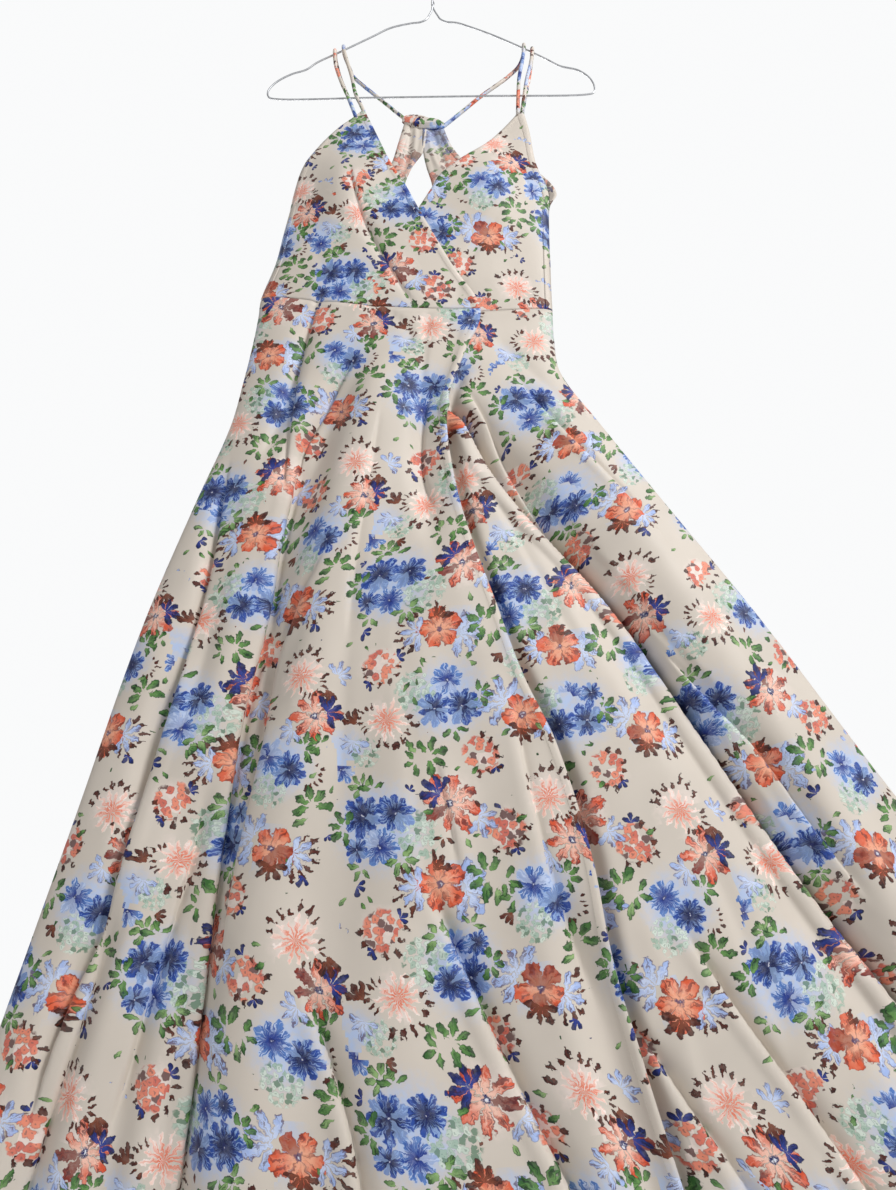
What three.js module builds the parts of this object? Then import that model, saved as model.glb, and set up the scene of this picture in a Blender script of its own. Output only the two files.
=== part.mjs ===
// Wrap sundress with a keyhole back, hanging from a bent wire hanger.
// Millimetres, +Z up. The origin is where the hook bears on a rail.
// +X is the viewer's right and -Y faces the viewer, so "left" and "right" are the viewer's.
import * as THREE from 'three';

// Cloth
const CLOTH = 1.6;
const SEAM = 0.4;
const WAIST_GAP = 0.4;

// Garment
const WAIST_LEFT_Z = -540;
const WAIST_RIGHT_Z = -563;
const HEM_LEFT_Z = -1530;
const HEM_RIGHT_Z = -1451;
const UNDERARM_Z = -410;
const WAIST_DIP = 20;
const HEM_DIP = 85;
const BACK_WAIST_DIP = 8;
const BACK_HEM_DIP = 68;
const UNDER_DROP = 5;
const UNDERLAP = 60;
const SIDE_FADE = 60;
const FOLD_FADE = 90;

// Straps and hanger
const STRAP_WIDTH = 4.6;
const STRAP_LIFT = 0.5;
const WIRE = 2.2;
const TWIST_RADIUS = 1.3;
const TWIST_PITCH = 24;
const TWIST_TOP_Z = -46;
const NECK_Z = -74;
const HOOK_RADIUS = 20;
const HOOK_TOP_Z = WIRE / 2;

// Half of the garment's outline at each height: its side seams, and how far its middle stands
// in front of and behind the side seams.
const OUTLINE = [
  { z: -240, left: -150, right: 126, front: 4, back: 7 },
  { z: -262, left: -153, right: 127, front: 7, back: 8 },
  { z: -300, left: -157, right: 128, front: 14, back: 10 },
  { z: -345, left: -163, right: 130, front: 20, back: 12 },
  { z: -376, left: -166, right: 138, front: 24, back: 14 },
  { z: -389, left: -167.5, right: 141.5, front: 25, back: 15 },
  { z: -410, left: -170, right: 131, front: 26, back: 16 },
  { z: -446, left: -176, right: 127.5, front: 26, back: 16 },
  { z: -490, left: -183, right: 126, front: 24, back: 16 },
  { z: -540, left: -197, right: 124.3, front: 22, back: 16 },
  { z: -563, left: -198.5, right: 124, front: 22, back: 16 },
  { z: -600, left: -202.5, right: 123.5, front: 23, back: 18 },
  { z: -645, left: -209, right: 128, front: 26, back: 20 },
  { z: -706, left: -220, right: 163, front: 30, back: 22 },
  { z: -795, left: -249, right: 217, front: 34, back: 25 },
  { z: -925, left: -288, right: 297, front: 38, back: 29 },
  { z: -1100, left: -328, right: 395, front: 42, back: 33 },
  { z: -1275, left: -369, right: 501, front: 46, back: 37 },
  { z: -1451, left: -411, right: 606, front: 49, back: 40 },
  { z: -1640, left: -455, right: 720, front: 52, back: 42 },
];

// Free edge of the over panel, from the cup's point past the V to the waist and on to the hem.
const OVER_EDGE = [
  { z: -256, x: -87 },
  { z: -304, x: -72 },
  { z: -361, x: -54 },
  { z: -397, x: -38 },
  { z: -440, x: -20 },
  { z: -510, x: 13 },
  { z: -571, x: 44 },
  { z: -632, x: 26 },
  { z: -690, x: 8 },
  { z: -730, x: 5 },
  { z: -800, x: 13 },
  { z: -860, x: 26 },
  { z: -922, x: 45 },
  { z: -990, x: 66 },
  { z: -1050, x: 91 },
  { z: -1139, x: 113 },
  { z: -1223, x: 124 },
  { z: -1294, x: 140 },
  { z: -1378, x: 161 },
  { z: -1480, x: 188 },
  { z: -1640, x: 228 },
];

// Armhole of each cup, from the cup's point to the underarm.
const LEFT_ARMHOLE = [
  { z: -270, x: -97 },
  { z: -290, x: -115 },
  { z: -308, x: -129 },
  { z: -331, x: -145 },
  { z: -345, x: -154 },
  { z: -364, x: -161 },
  { z: -390, x: -166.5 },
  { z: -410, x: -170 },
];
const RIGHT_ARMHOLE = [
  { z: -258, x: 107.5 },
  { z: -300, x: 113 },
  { z: -330, x: 115 },
  { z: -352, x: 117 },
  { z: -370, x: 121 },
  { z: -392, x: 127.5 },
  { z: -410, x: 131 },
];

// Neckline of the under cup, which carries on behind the over cup to the waist.
const UNDER_NECKLINE = [
  { z: -264, x: 101 },
  { z: -299, x: 77 },
  { z: -325, x: 57 },
  { z: -352, x: 29 },
  { z: -380, x: 4 },
  { z: -402, x: -6 },
  { z: -434, x: -22 },
  { z: -490, x: -48 },
  { z: -570, x: -78 },
];

// Back pieces: the edge from the knot past the strap's end to the underarm,
// and the edge beside the keyhole down to the centre-back seam.
const BACK_LEFT_TOP = [
  { x: -38.5, z: -267.8 },
  { x: -46.5, z: -300 },
  { x: -55, z: -330 },
  { x: -65, z: -343 },
  { x: -78, z: -337 },
  { x: -100, z: -352 },
  { x: -135, z: -378 },
  { x: -158, z: -395 },
  { x: -170, z: -410 },
];
const BACK_LEFT_KEYHOLE = [
  { x: -17.6, z: -272.2 },
  { x: -17.6, z: -300 },
  { x: -18.5, z: -312 },
  { x: -24.5, z: -326 },
  { x: -33, z: -342 },
  { x: -38.5, z: -362 },
  { x: -39.5, z: -384 },
  { x: -36, z: -412 },
  { x: -29, z: -434 },
  { x: -21.2, z: -450 },
];
const BACK_RIGHT_TOP = [
  { x: 8.5, z: -277 },
  { x: 18, z: -300 },
  { x: 30, z: -322 },
  { x: 50, z: -347 },
  { x: 76, z: -349 },
  { x: 97, z: -337 },
  { x: 120, z: -352 },
  { x: 136, z: -375 },
  { x: 140.5, z: -390 },
  { x: 131, z: -410 },
];
const BACK_RIGHT_KEYHOLE = [
  { x: -16.6, z: -273 },
  { x: -16.6, z: -300 },
  { x: -15.6, z: -312 },
  { x: -12, z: -334 },
  { x: -6, z: -358 },
  { x: -4, z: -382 },
  { x: -6, z: -412 },
  { x: -13, z: -435 },
  { x: -19.8, z: -450 },
];
const CENTRE_BACK_X = -20.5;

// Fullness of the cups over the bust.
const CUPS = [
  { x: -104, z: -400, wide: 42, tall: 52, height: 9 },
  { x: 66, z: -402, wide: 40, tall: 52, height: 9 },
];

// Folds of the front. Each runs through three points and stands out, or in where height is negative.
const FRONT_FOLDS = [
  { name: 'tuck to the bust', top: [-100, -395], middle: [-60, -497], end: [-21, -572], width: 9, height: -3 },
  { name: 'waist pleat', top: [-131, -540], middle: [-152, -635], end: [-183, -790], width: 13, height: -7 },
  { name: 'long valley', top: [-87, -610], middle: [-163, -930], end: [-214, -1700], width: 21, height: -15 },
  { name: 'ridge beside it', top: [-50, -600], middle: [-118, -960], end: [-150, -1700], width: 36, height: 12 },
  { name: 'short valley', top: [-108, -850], middle: [-140, -935], end: [-168, -1080], width: 14, height: -8 },
  { name: 'left upper valley', top: [-221, -700], middle: [-219, -862], end: [-232, -1040], width: 15, height: -8 },
  { name: 'left outer valley', top: [-243, -870], middle: [-255, -983], end: [-272, -1130], width: 15, height: -7 },
  { name: 'left lower valley', top: [-206, -1040], middle: [-234, -1184], end: [-285, -1700], width: 19, height: -13 },
  { name: 'left hem valley', top: [-270, -1120], middle: [-308, -1290], end: [-372, -1700], width: 19, height: -12 },
  { name: 'drape by the edge', top: [-12, -650], middle: [-20, -765], end: [0, -900], width: 13, height: -8 },
  { name: 'middle ridge', top: [-20, -820], middle: [-35, -1050], end: [-55, -1700], width: 48, height: 13 },
  { name: 'edge ridge', top: [-10, -780], middle: [50, -1050], end: [170, -1700], width: 30, height: 8 },
  { name: 'edge valley', top: [72, -1120], middle: [100, -1225], end: [196, -1700], width: 18, height: -11 },
  { name: 'main right valley', top: [20, -690], middle: [158, -940], end: [540, -1700], width: 24, height: -17 },
  { name: 'right ridge', top: [95, -640], middle: [250, -960], end: [620, -1700], width: 38, height: 11 },
  { name: 'right lower valley', top: [235, -980], middle: [320, -1180], end: [480, -1700], width: 22, height: -10 },
  { name: 'right hem ridge', top: [300, -1180], middle: [350, -1300], end: [430, -1700], width: 34, height: 10 },
];

// Folds of the back, which is hidden: soft and uneven, at fractions of the way across.
const BACK_FOLDS = [
  { across: 0.1, top: -820, width: 26, height: -10 },
  { across: 0.2, top: -590, width: 30, height: 12 },
  { across: 0.31, top: -700, width: 24, height: -13 },
  { across: 0.43, top: -600, width: 40, height: 13 },
  { across: 0.54, top: -760, width: 26, height: -12 },
  { across: 0.65, top: -620, width: 36, height: 13 },
  { across: 0.75, top: -720, width: 24, height: -13 },
  { across: 0.86, top: -900, width: 34, height: 11 },
];

// Shoulders and bar of the hanger: where the wire lies on each side at each height.
const HANGER = [
  { z: -84, left: -5, right: 5.5 },
  { z: -92, left: -9, right: 9.5 },
  { z: -97, left: -17, right: 17 },
  { z: -99, left: -29, right: 30 },
  { z: -107, left: -55, right: 47 },
  { z: -123, left: -79, right: 76 },
  { z: -150, left: -119.5, right: 117 },
  { z: -168, left: -147.5, right: 142 },
  { z: -180.5, left: -161, right: 158.5 },
  { z: -188.7, left: -180, right: 181 },
  { z: -203, left: -198.5, right: 194.5 },
  { z: -218, left: -207, right: 199 },
  { z: -228, left: -205, right: 197 },
];
const BAR_Z = -231;
const BAR_LEFT_X = -196;
const BAR_RIGHT_X = 188;

// Routes of the straps: from the cup's point up to the wire, over it, and down the back.
const STRAPS = {
  strap_left_inner: {
    front: [[-88.8, -6, -256], [-97.5, -5.6, -231], [-103, -5.2, -200], [-110, -4.8, -170]],
    wire: [-114.5, -146.6],
    back: [[-108, 5, -170], [-101.5, 5.6, -188], [-90, 6, -202], [-68, 6.6, -226], [-39.4, 7.9, -256.8]],
  },
  strap_left_outer: {
    front: [[-97.4, -6, -267.5], [-104, -5.6, -244], [-117, -5.2, -205], [-123.5, -4.8, -178]],
    wire: [-125.4, -153.8],
    back: [[-119.5, 5.5, -185], [-107, 7, -225], [-92, 9, -275], [-82, 10.5, -315], [-78, 11, -336.9]],
  },
  strap_right_inner: {
    front: [[100.8, -6, -262.9], [102, -5.6, -245], [105.5, -5.2, -205], [110.5, -4.8, -178]],
    wire: [114.5, -148.4],
    back: [[108, 5, -172], [93, 5.6, -191], [56, 6.6, -225], [33, 7.2, -249], [11.9, 7.9, -270.1]],
  },
  strap_right_outer: {
    front: [[106.9, -6, -257.9], [110.5, -5.7, -235], [114.5, -5.2, -210], [121, -4.8, -182]],
    wire: [124.7, -155.5],
    back: [[120, 5.5, -190], [112, 7, -230], [104, 7.6, -280], [98.5, 7.7, -318], [97, 7.7, -338.3]],
  },
};
const SHOULDER_SLOPE = 34;

// Wrap at the top of the keyhole.
const KNOT = { x: -14.5, y: 8, z: -264, halfLength: 26, halfDepth: 5.5, halfHeight: 8.5, tilt: 14 };

const COLOURS = { cloth: 0xd0c6ba, shade: 0xbfb4a6, wire: 0x9a9c9f };

const clamp = (value, low, high) => Math.min(high, Math.max(low, value));
const mix = (a, b, t) => a + (b - a) * t;
const ease = (t) => {
  const c = clamp(t, 0, 1);
  return c * c * (3 - 2 * c);
};

// A smooth curve through one column of a table whose rows go down in z.
function downTable(rows, column) {
  const slope = (i, j) => (rows[j][column] - rows[i][column]) / (rows[j].z - rows[i].z);
  const last = rows.length - 1;
  const tangents = rows.map((row, i) => slope(Math.max(0, i - 1), Math.min(last, i + 1)));
  return (z) => {
    const inside = clamp(z, rows[last].z, rows[0].z);
    let i = 0;
    while (i < last - 1 && inside < rows[i + 1].z) i += 1;
    const step = rows[i + 1].z - rows[i].z;
    const t = (inside - rows[i].z) / step;
    const t2 = t * t;
    const t3 = t2 * t;
    return (2 * t3 - 3 * t2 + 1) * rows[i][column] + (t3 - 2 * t2 + t) * step * tangents[i]
      + (3 * t2 - 2 * t3) * rows[i + 1][column] + (t3 - t2) * step * tangents[i + 1];
  };
}

const sideLeft = downTable(OUTLINE, 'left');
const sideRight = downTable(OUTLINE, 'right');
const frontDepth = downTable(OUTLINE, 'front');
const backDepth = downTable(OUTLINE, 'back');
const overEdge = downTable(OVER_EDGE, 'x');
const leftArmhole = downTable(LEFT_ARMHOLE, 'x');
const rightArmhole = downTable(RIGHT_ARMHOLE, 'x');
const underNeckline = downTable(UNDER_NECKLINE, 'x');

// 0 at the side seams and 1 in the middle, as round as an ellipse.
function roundness(x, z) {
  const left = sideLeft(z);
  const across = (x - left) / (sideRight(z) - left);
  return Math.sqrt(Math.max(0, 1 - (2 * across - 1) ** 2));
}

// 0 at the side seams and 1 a little way in.
function awayFromSides(x, z) {
  return ease(Math.min(x - sideLeft(z), sideRight(z) - x) / SIDE_FADE);
}

// x of a fold at a height, on the parabola through its three points.
function foldPath({ top, middle, end }, z) {
  const [x0, z0] = top;
  const [x1, z1] = middle;
  const [x2, z2] = end;
  return x0 * (z - z1) * (z - z2) / ((z0 - z1) * (z0 - z2))
    + x1 * (z - z0) * (z - z2) / ((z1 - z0) * (z1 - z2))
    + x2 * (z - z0) * (z - z1) / ((z2 - z0) * (z2 - z1));
}

function frontFolds(x, z) {
  return FRONT_FOLDS.reduce((sum, fold) => {
    const start = ease((fold.top[1] - z) / FOLD_FADE);
    const stop = ease((z - fold.end[1]) / FOLD_FADE);
    const off = (x - foldPath(fold, z)) / fold.width;
    return start * stop > 0 ? sum + fold.height * start * stop * Math.exp(-off * off) : sum;
  }, 0);
}

function backFolds(x, z) {
  const left = sideLeft(z);
  const width = sideRight(z) - left;
  return BACK_FOLDS.reduce((sum, fold) => {
    const off = (x - left - fold.across * width) / fold.width;
    return sum + fold.height * ease((fold.top - z) / (3 * FOLD_FADE)) * Math.exp(-off * off);
  }, 0);
}

function cups(x, z) {
  return CUPS.reduce((sum, cup) => {
    const off = ((x - cup.x) / cup.wide) ** 2 + ((z - cup.z) / cup.tall) ** 2;
    return sum + cup.height * Math.exp(-off);
  }, 0);
}

function frontPoint(x, z) {
  const relief = (cups(x, z) + frontFolds(x, z)) * awayFromSides(x, z);
  return new THREE.Vector3(x, -(SEAM / 2 + frontDepth(z) * roundness(x, z) + relief), z);
}

// The under panel lies a little behind the over panel.
function underPoint(x, z) {
  const point = frontPoint(x, z);
  point.y += UNDER_DROP * ease((sideRight(z) - x) / SIDE_FADE);
  return point;
}

function backPoint(x, z) {
  const relief = backFolds(x, z) * awayFromSides(x, z);
  return new THREE.Vector3(x, SEAM / 2 + backDepth(z) * roundness(x, z) + relief, z);
}

// Height of the waistline at a fraction of the way across.
function waistZ(across, dip) {
  return mix(WAIST_LEFT_Z, WAIST_RIGHT_Z, across) - dip * Math.sin(Math.PI * clamp(across, 0, 1));
}

// A point of the skirt at a fraction across and a fraction down, before its depth.
function skirtPlace(across, down, waistDip, hemDip) {
  const leftZ = mix(WAIST_LEFT_Z, HEM_LEFT_Z, down);
  const rightZ = mix(WAIST_RIGHT_Z, HEM_RIGHT_Z, down);
  const dip = mix(waistDip, hemDip, down) * Math.sin(Math.PI * across);
  return [mix(sideLeft(leftZ), sideRight(rightZ), across), mix(leftZ, rightZ, across) - dip];
}

// How far across the over panel's free edge lies, a fraction down the skirt.
function edgeAcross(down, shift = 0) {
  const settle = 8;
  let across = 0.6;
  for (let i = 0; i < settle; i += 1) {
    const z = skirtPlace(across, down, WAIST_DIP, HEM_DIP)[1];
    const left = skirtPlace(0, down, WAIST_DIP, HEM_DIP)[0];
    const right = skirtPlace(1, down, WAIST_DIP, HEM_DIP)[0];
    across = (overEdge(z) + shift - left) / (right - left);
  }
  return across;
}

// Columns stand closer together near a side seam, where the cloth turns round.
const fromSeam = (s) => (s * s + 2.5 * s) / 3.5;
const betweenSeams = (s) => mix(s, (1 - Math.cos(Math.PI * s)) / 2, 0.45);

// A wall of cloth about a surface, which is read across and down from 0 to 1.
function wall(surface, columns, rows, thickness = CLOTH) {
  const positions = [];
  const step = 1e-4;
  const tangent = (s, t, ds, dt) => {
    const ahead = surface(clamp(s + ds, 0, 1), clamp(t + dt, 0, 1));
    return ahead.sub(surface(clamp(s - ds, 0, 1), clamp(t - dt, 0, 1)));
  };
  for (let side = 0; side < 2; side += 1) {
    for (let j = 0; j <= rows; j += 1) {
      for (let i = 0; i <= columns; i += 1) {
        const s = i / columns;
        const t = j / rows;
        const normal = tangent(s, t, step, 0).cross(tangent(s, t, 0, step)).normalize();
        const point = surface(s, t).addScaledVector(normal, (side - 0.5) * thickness);
        positions.push(point.x, point.y, point.z);
      }
    }
  }
  const layer = (columns + 1) * (rows + 1);
  const at = (i, j, side) => side * layer + j * (columns + 1) + i;
  const faces = [];
  const quad = (a, b, c, d) => faces.push(a, b, c, a, c, d);
  for (let j = 0; j < rows; j += 1) {
    for (let i = 0; i < columns; i += 1) {
      quad(at(i, j, 1), at(i + 1, j, 1), at(i + 1, j + 1, 1), at(i, j + 1, 1));
      quad(at(i, j, 0), at(i, j + 1, 0), at(i + 1, j + 1, 0), at(i + 1, j, 0));
    }
  }
  for (let i = 0; i < columns; i += 1) {
    quad(at(i, 0, 0), at(i + 1, 0, 0), at(i + 1, 0, 1), at(i, 0, 1));
    quad(at(i + 1, rows, 0), at(i, rows, 0), at(i, rows, 1), at(i + 1, rows, 1));
  }
  for (let j = 0; j < rows; j += 1) {
    quad(at(0, j + 1, 0), at(0, j, 0), at(0, j, 1), at(0, j + 1, 1));
    quad(at(columns, j, 0), at(columns, j + 1, 0), at(columns, j + 1, 1), at(columns, j, 1));
  }
  return closedGeometry(positions, faces);
}

// Geometry whose faces point outwards, whichever way its surface was read.
function closedGeometry(positions, faces) {
  const corner = (i) => new THREE.Vector3().fromArray(positions, 3 * i);
  let volume = 0;
  for (let i = 0; i < faces.length; i += 3) {
    volume += corner(faces[i]).dot(corner(faces[i + 1]).cross(corner(faces[i + 2])));
  }
  const geometry = new THREE.BufferGeometry();
  geometry.setAttribute('position', new THREE.Float32BufferAttribute(positions, 3));
  geometry.setIndex(volume < 0 ? [...faces].reverse() : faces);
  geometry.computeVertexNormals();
  return geometry;
}

function clothMesh(name, geometry, colour = COLOURS.cloth) {
  const material = new THREE.MeshStandardMaterial({ color: colour, roughness: 0.62, metalness: 0 });
  material.side = THREE.DoubleSide;
  const mesh = new THREE.Mesh(geometry, material);
  mesh.name = name;
  return mesh;
}

// A bodice front between its outer edge and its inner edge, its lowest row on the waistline.
function bodiceFront(outerTop, outerX, outerFoot, innerTop, innerX, innerFoot, place) {
  const left = sideLeft(WAIST_LEFT_Z);
  const width = sideRight(WAIST_RIGHT_Z) - left;
  return (s, t) => {
    const outerZ = mix(outerTop, outerFoot, t);
    const innerZ = mix(innerTop, innerFoot, t);
    const across = fromSeam(s);
    const x = mix(outerX(outerZ), innerX(innerZ), across);
    const footX = mix(outerX(outerFoot), innerX(innerFoot), across);
    const foot = waistZ((footX - left) / width, WAIST_DIP) + WAIST_GAP - mix(outerFoot, innerFoot, across);
    return place(x, mix(outerZ, innerZ, across) + foot * t ** 4);
  };
}

function bodiceLeftFront() {
  const outer = (z) => (z < UNDERARM_Z ? sideLeft(z) : leftArmhole(z));
  const footLeft = WAIST_LEFT_Z + WAIST_GAP;
  const surface = bodiceFront(LEFT_ARMHOLE[0].z, outer, footLeft, OVER_EDGE[0].z, overEdge, -571, frontPoint);
  return clothMesh('bodice_left_front', wall(surface, 15, 15));
}

function bodiceRightFront() {
  const outer = (z) => (z < UNDERARM_Z ? sideRight(z) : rightArmhole(z));
  const footRight = WAIST_RIGHT_Z + WAIST_GAP;
  const surface = bodiceFront(RIGHT_ARMHOLE[0].z, outer, footRight, UNDER_NECKLINE[0].z, underNeckline, -570,
    underPoint);
  return clothMesh('bodice_right_front', wall(surface, 13, 15));
}

// A back piece between its top edge and side seam and its keyhole and centre-back seam.
function bodiceBack(name, topRows, keyholeRows, side, footZ, centreX) {
  const flat = (row) => new THREE.Vector3(row.x, 0, row.z);
  const seamZ = [0.25, 0.5, 0.75, 1].map((t) => mix(UNDERARM_Z, footZ, t));
  const seam = seamZ.map((z) => new THREE.Vector3(side(z), 0, z));
  const left = sideLeft(WAIST_LEFT_Z);
  const width = sideRight(WAIST_RIGHT_Z) - left;
  const waist = (x) => waistZ((x - left) / width, BACK_WAIST_DIP) + WAIST_GAP;
  const outer = new THREE.CatmullRomCurve3([...topRows.map(flat), ...seam], false, 'centripetal');
  const centre = [...keyholeRows.map(flat), new THREE.Vector3(centreX, 0, waist(centreX))];
  const inner = new THREE.CatmullRomCurve3(centre, false, 'centripetal');
  const surface = (s, t) => {
    const outside = outer.getPointAt(t);
    const inside = inner.getPointAt(t);
    if (outside.z < UNDERARM_Z) outside.x = side(outside.z);
    if (inside.z < keyholeRows[keyholeRows.length - 1].z) inside.x = centreX;
    const across = fromSeam(s);
    const footX = mix(side(footZ), centreX, across);
    const foot = waist(footX) - mix(footZ, waist(centreX), across);
    return backPoint(mix(outside.x, inside.x, across), mix(outside.z, inside.z, across) + foot * t ** 4);
  };
  return clothMesh(name, wall(surface, 8, 22), COLOURS.shade);
}

function bodiceBacks() {
  const leftFoot = WAIST_LEFT_Z + WAIST_GAP;
  const rightFoot = WAIST_RIGHT_Z + WAIST_GAP;
  return [
    bodiceBack('bodice_left_back', BACK_LEFT_TOP, BACK_LEFT_KEYHOLE, sideLeft, leftFoot, CENTRE_BACK_X - SEAM),
    bodiceBack('bodice_right_back', BACK_RIGHT_TOP, BACK_RIGHT_KEYHOLE, sideRight, rightFoot, CENTRE_BACK_X + SEAM),
  ];
}

function skirtLeftFront() {
  const surface = (s, t) => {
    const across = fromSeam(s) * edgeAcross(t);
    return frontPoint(...skirtPlace(across, t, WAIST_DIP, HEM_DIP));
  };
  return clothMesh('skirt_left_front', wall(surface, 34, 20));
}

function skirtRightFront() {
  const surface = (s, t) => {
    const across = mix(1, edgeAcross(t, -UNDERLAP), fromSeam(s));
    return underPoint(...skirtPlace(across, t, WAIST_DIP, HEM_DIP));
  };
  return clothMesh('skirt_right_front', wall(surface, 24, 20));
}

function skirtBack() {
  const surface = (s, t) => backPoint(...skirtPlace(betweenSeams(s), t, BACK_WAIST_DIP, BACK_HEM_DIP));
  return clothMesh('skirt_back', wall(surface, 40, 18), COLOURS.shade);
}

// A round bar swept along points, with rings closest together where the points are.
function rod(points, diameter, sides, perSpan) {
  const route = new THREE.CatmullRomCurve3(points, false, 'centripetal').getPoints((points.length - 1) * perSpan);
  const last = route.length - 1;
  const positions = [];
  const faces = [];
  let across = new THREE.Vector3(0, 1, 0);
  route.forEach((centre, k) => {
    const ahead = route[Math.min(last, k + 1)].clone().sub(route[Math.max(0, k - 1)]).normalize();
    across = across.clone().addScaledVector(ahead, -across.dot(ahead)).normalize();
    const other = ahead.clone().cross(across);
    for (let i = 0; i < sides; i += 1) {
      const angle = (2 * Math.PI * i) / sides;
      const point = centre.clone().addScaledVector(across, Math.cos(angle) * diameter / 2)
        .addScaledVector(other, Math.sin(angle) * diameter / 2);
      positions.push(point.x, point.y, point.z);
    }
  });
  for (let k = 0; k < last; k += 1) {
    for (let i = 0; i < sides; i += 1) {
      const next = (i + 1) % sides;
      const [a, b] = [k * sides + i, k * sides + next];
      faces.push(a, b, b + sides, a, b + sides, a + sides);
    }
  }
  for (let i = 1; i < sides - 1; i += 1) {
    faces.push(0, i + 1, i, last * sides, last * sides + i, last * sides + i + 1);
  }
  return closedGeometry(positions, faces);
}

// The bend of a strap over the sloping wire, just clear of it.
function overWire(x, wireZ) {
  const clear = (STRAP_WIDTH + WIRE) / 2 + STRAP_LIFT;
  const rise = clear / Math.cos(THREE.MathUtils.degToRad(SHOULDER_SLOPE));
  return [-105, -60, -30, 0, 30, 60, 105].map((degrees) => {
    const angle = THREE.MathUtils.degToRad(degrees);
    return [x, Math.sin(angle) * clear, wireZ + Math.cos(angle) * rise];
  });
}

function straps() {
  return Object.entries(STRAPS).map(([name, { front, wire, back }]) => {
    const points = [...front, ...overWire(...wire), ...back].map((point) => new THREE.Vector3(...point));
    return clothMesh(name, rod(points, STRAP_WIDTH, 6, 2));
  });
}

function backKnot() {
  const geometry = new THREE.SphereGeometry(1, 14, 8);
  geometry.scale(KNOT.halfLength, KNOT.halfDepth, KNOT.halfHeight);
  const mesh = clothMesh('back_knot', geometry);
  mesh.rotation.y = THREE.MathUtils.degToRad(KNOT.tilt);
  mesh.position.set(KNOT.x, KNOT.y, KNOT.z);
  return mesh;
}

// The two wires of the stem, twisted round each other below the hook.
function twist(phase, fromZ, toZ, count) {
  return Array.from({ length: count }, (_, i) => {
    const z = mix(fromZ, toZ, i / (count - 1));
    const angle = phase + (2 * Math.PI * (z - NECK_Z)) / TWIST_PITCH;
    return new THREE.Vector3(Math.cos(angle) * TWIST_RADIUS, Math.sin(angle) * TWIST_RADIUS, z);
  });
}

function hangerWire() {
  const on = (x, z) => new THREE.Vector3(x, 0, z);
  const leftSide = HANGER.map((row) => on(row.left, row.z));
  const rightSide = HANGER.map((row) => on(row.right, row.z)).reverse();
  const bar = [0, 0.33, 0.67, 1].map((t) => on(mix(BAR_LEFT_X, BAR_RIGHT_X, t), BAR_Z));
  const hookCentreZ = HOOK_TOP_Z - HOOK_RADIUS;
  const hook = Array.from({ length: 12 }, (_, i) => {
    const angle = THREE.MathUtils.degToRad(mix(-35, 205, i / 11));
    return on(Math.cos(angle) * HOOK_RADIUS, hookCentreZ + Math.sin(angle) * HOOK_RADIUS);
  });
  const points = [
    ...twist(Math.PI, TWIST_TOP_Z - 3, NECK_Z, 9),
    ...leftSide,
    ...bar,
    ...rightSide,
    ...twist(0, NECK_Z, TWIST_TOP_Z, 9),
    on(2.5, TWIST_TOP_Z + 5),
    ...hook,
  ];
  const material = new THREE.MeshStandardMaterial({ color: COLOURS.wire, roughness: 0.35, metalness: 0.9 });
  const mesh = new THREE.Mesh(rod(points, WIRE, 6, 2), material);
  mesh.name = 'hanger_wire';
  return mesh;
}

const sundress = new THREE.Group();
sundress.add(
  bodiceLeftFront(),
  bodiceRightFront(),
  ...bodiceBacks(),
  backKnot(),
  ...straps(),
  skirtLeftFront(),
  skirtRightFront(),
  skirtBack(),
  hangerWire(),
);

export default sundress;
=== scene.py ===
# Looks of the wrap sundress on its wire hanger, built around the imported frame.
# Lengths are millimetres until a mesh is made. +X is the viewer's right and -Y faces the viewer.
import math

import bpy
import numpy as np
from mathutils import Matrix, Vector


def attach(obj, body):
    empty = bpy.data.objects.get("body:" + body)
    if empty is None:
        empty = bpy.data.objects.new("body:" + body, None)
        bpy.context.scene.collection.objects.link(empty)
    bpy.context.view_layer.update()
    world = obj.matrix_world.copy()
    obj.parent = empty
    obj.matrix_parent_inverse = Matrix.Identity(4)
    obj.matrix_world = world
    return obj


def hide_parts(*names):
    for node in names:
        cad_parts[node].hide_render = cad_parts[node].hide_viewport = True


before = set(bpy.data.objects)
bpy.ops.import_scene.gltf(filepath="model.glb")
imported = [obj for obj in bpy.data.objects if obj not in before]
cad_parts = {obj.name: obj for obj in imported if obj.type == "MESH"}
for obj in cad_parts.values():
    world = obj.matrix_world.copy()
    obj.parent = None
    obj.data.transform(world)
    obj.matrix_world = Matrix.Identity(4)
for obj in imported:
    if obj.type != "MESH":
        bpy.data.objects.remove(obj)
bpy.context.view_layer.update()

MM = 0.001
BODY = "root"

# Cloth: its thickness, what a turned hem adds to each face, the hems' depths, the stitches and the seams
CLOTH = 0.7
TURNED = 0.35
EDGE_HEM = 7
HEM = 22
HEM_STEP = 1.2
HEM_LINES = 3
THREAD = 0.4
STITCH_LENGTH = 2.1
STITCH_PITCH = 2.9
SEAM_CROWD = 2.5
FIRST_STRETCH = SEAM_CROWD / (SEAM_CROWD + 1)
LAST_STRETCH = (SEAM_CROWD + 2) / (SEAM_CROWD + 1)
SEAM = 0.4
WAIST_GAP = 0.4

# Garment
WAIST_LEFT_Z = -540
WAIST_RIGHT_Z = -563
HEM_LEFT_Z = -1530
HEM_RIGHT_Z = -1451
UNDERARM_Z = -410
WAIST_DIP = 20
HEM_DIP = 85
BACK_WAIST_DIP = 8
BACK_HEM_DIP = 68
UNDER_DROP = 5
UNDERLAP = 60
SIDE_FADE = 60
FOLD_FADE = 90

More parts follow.
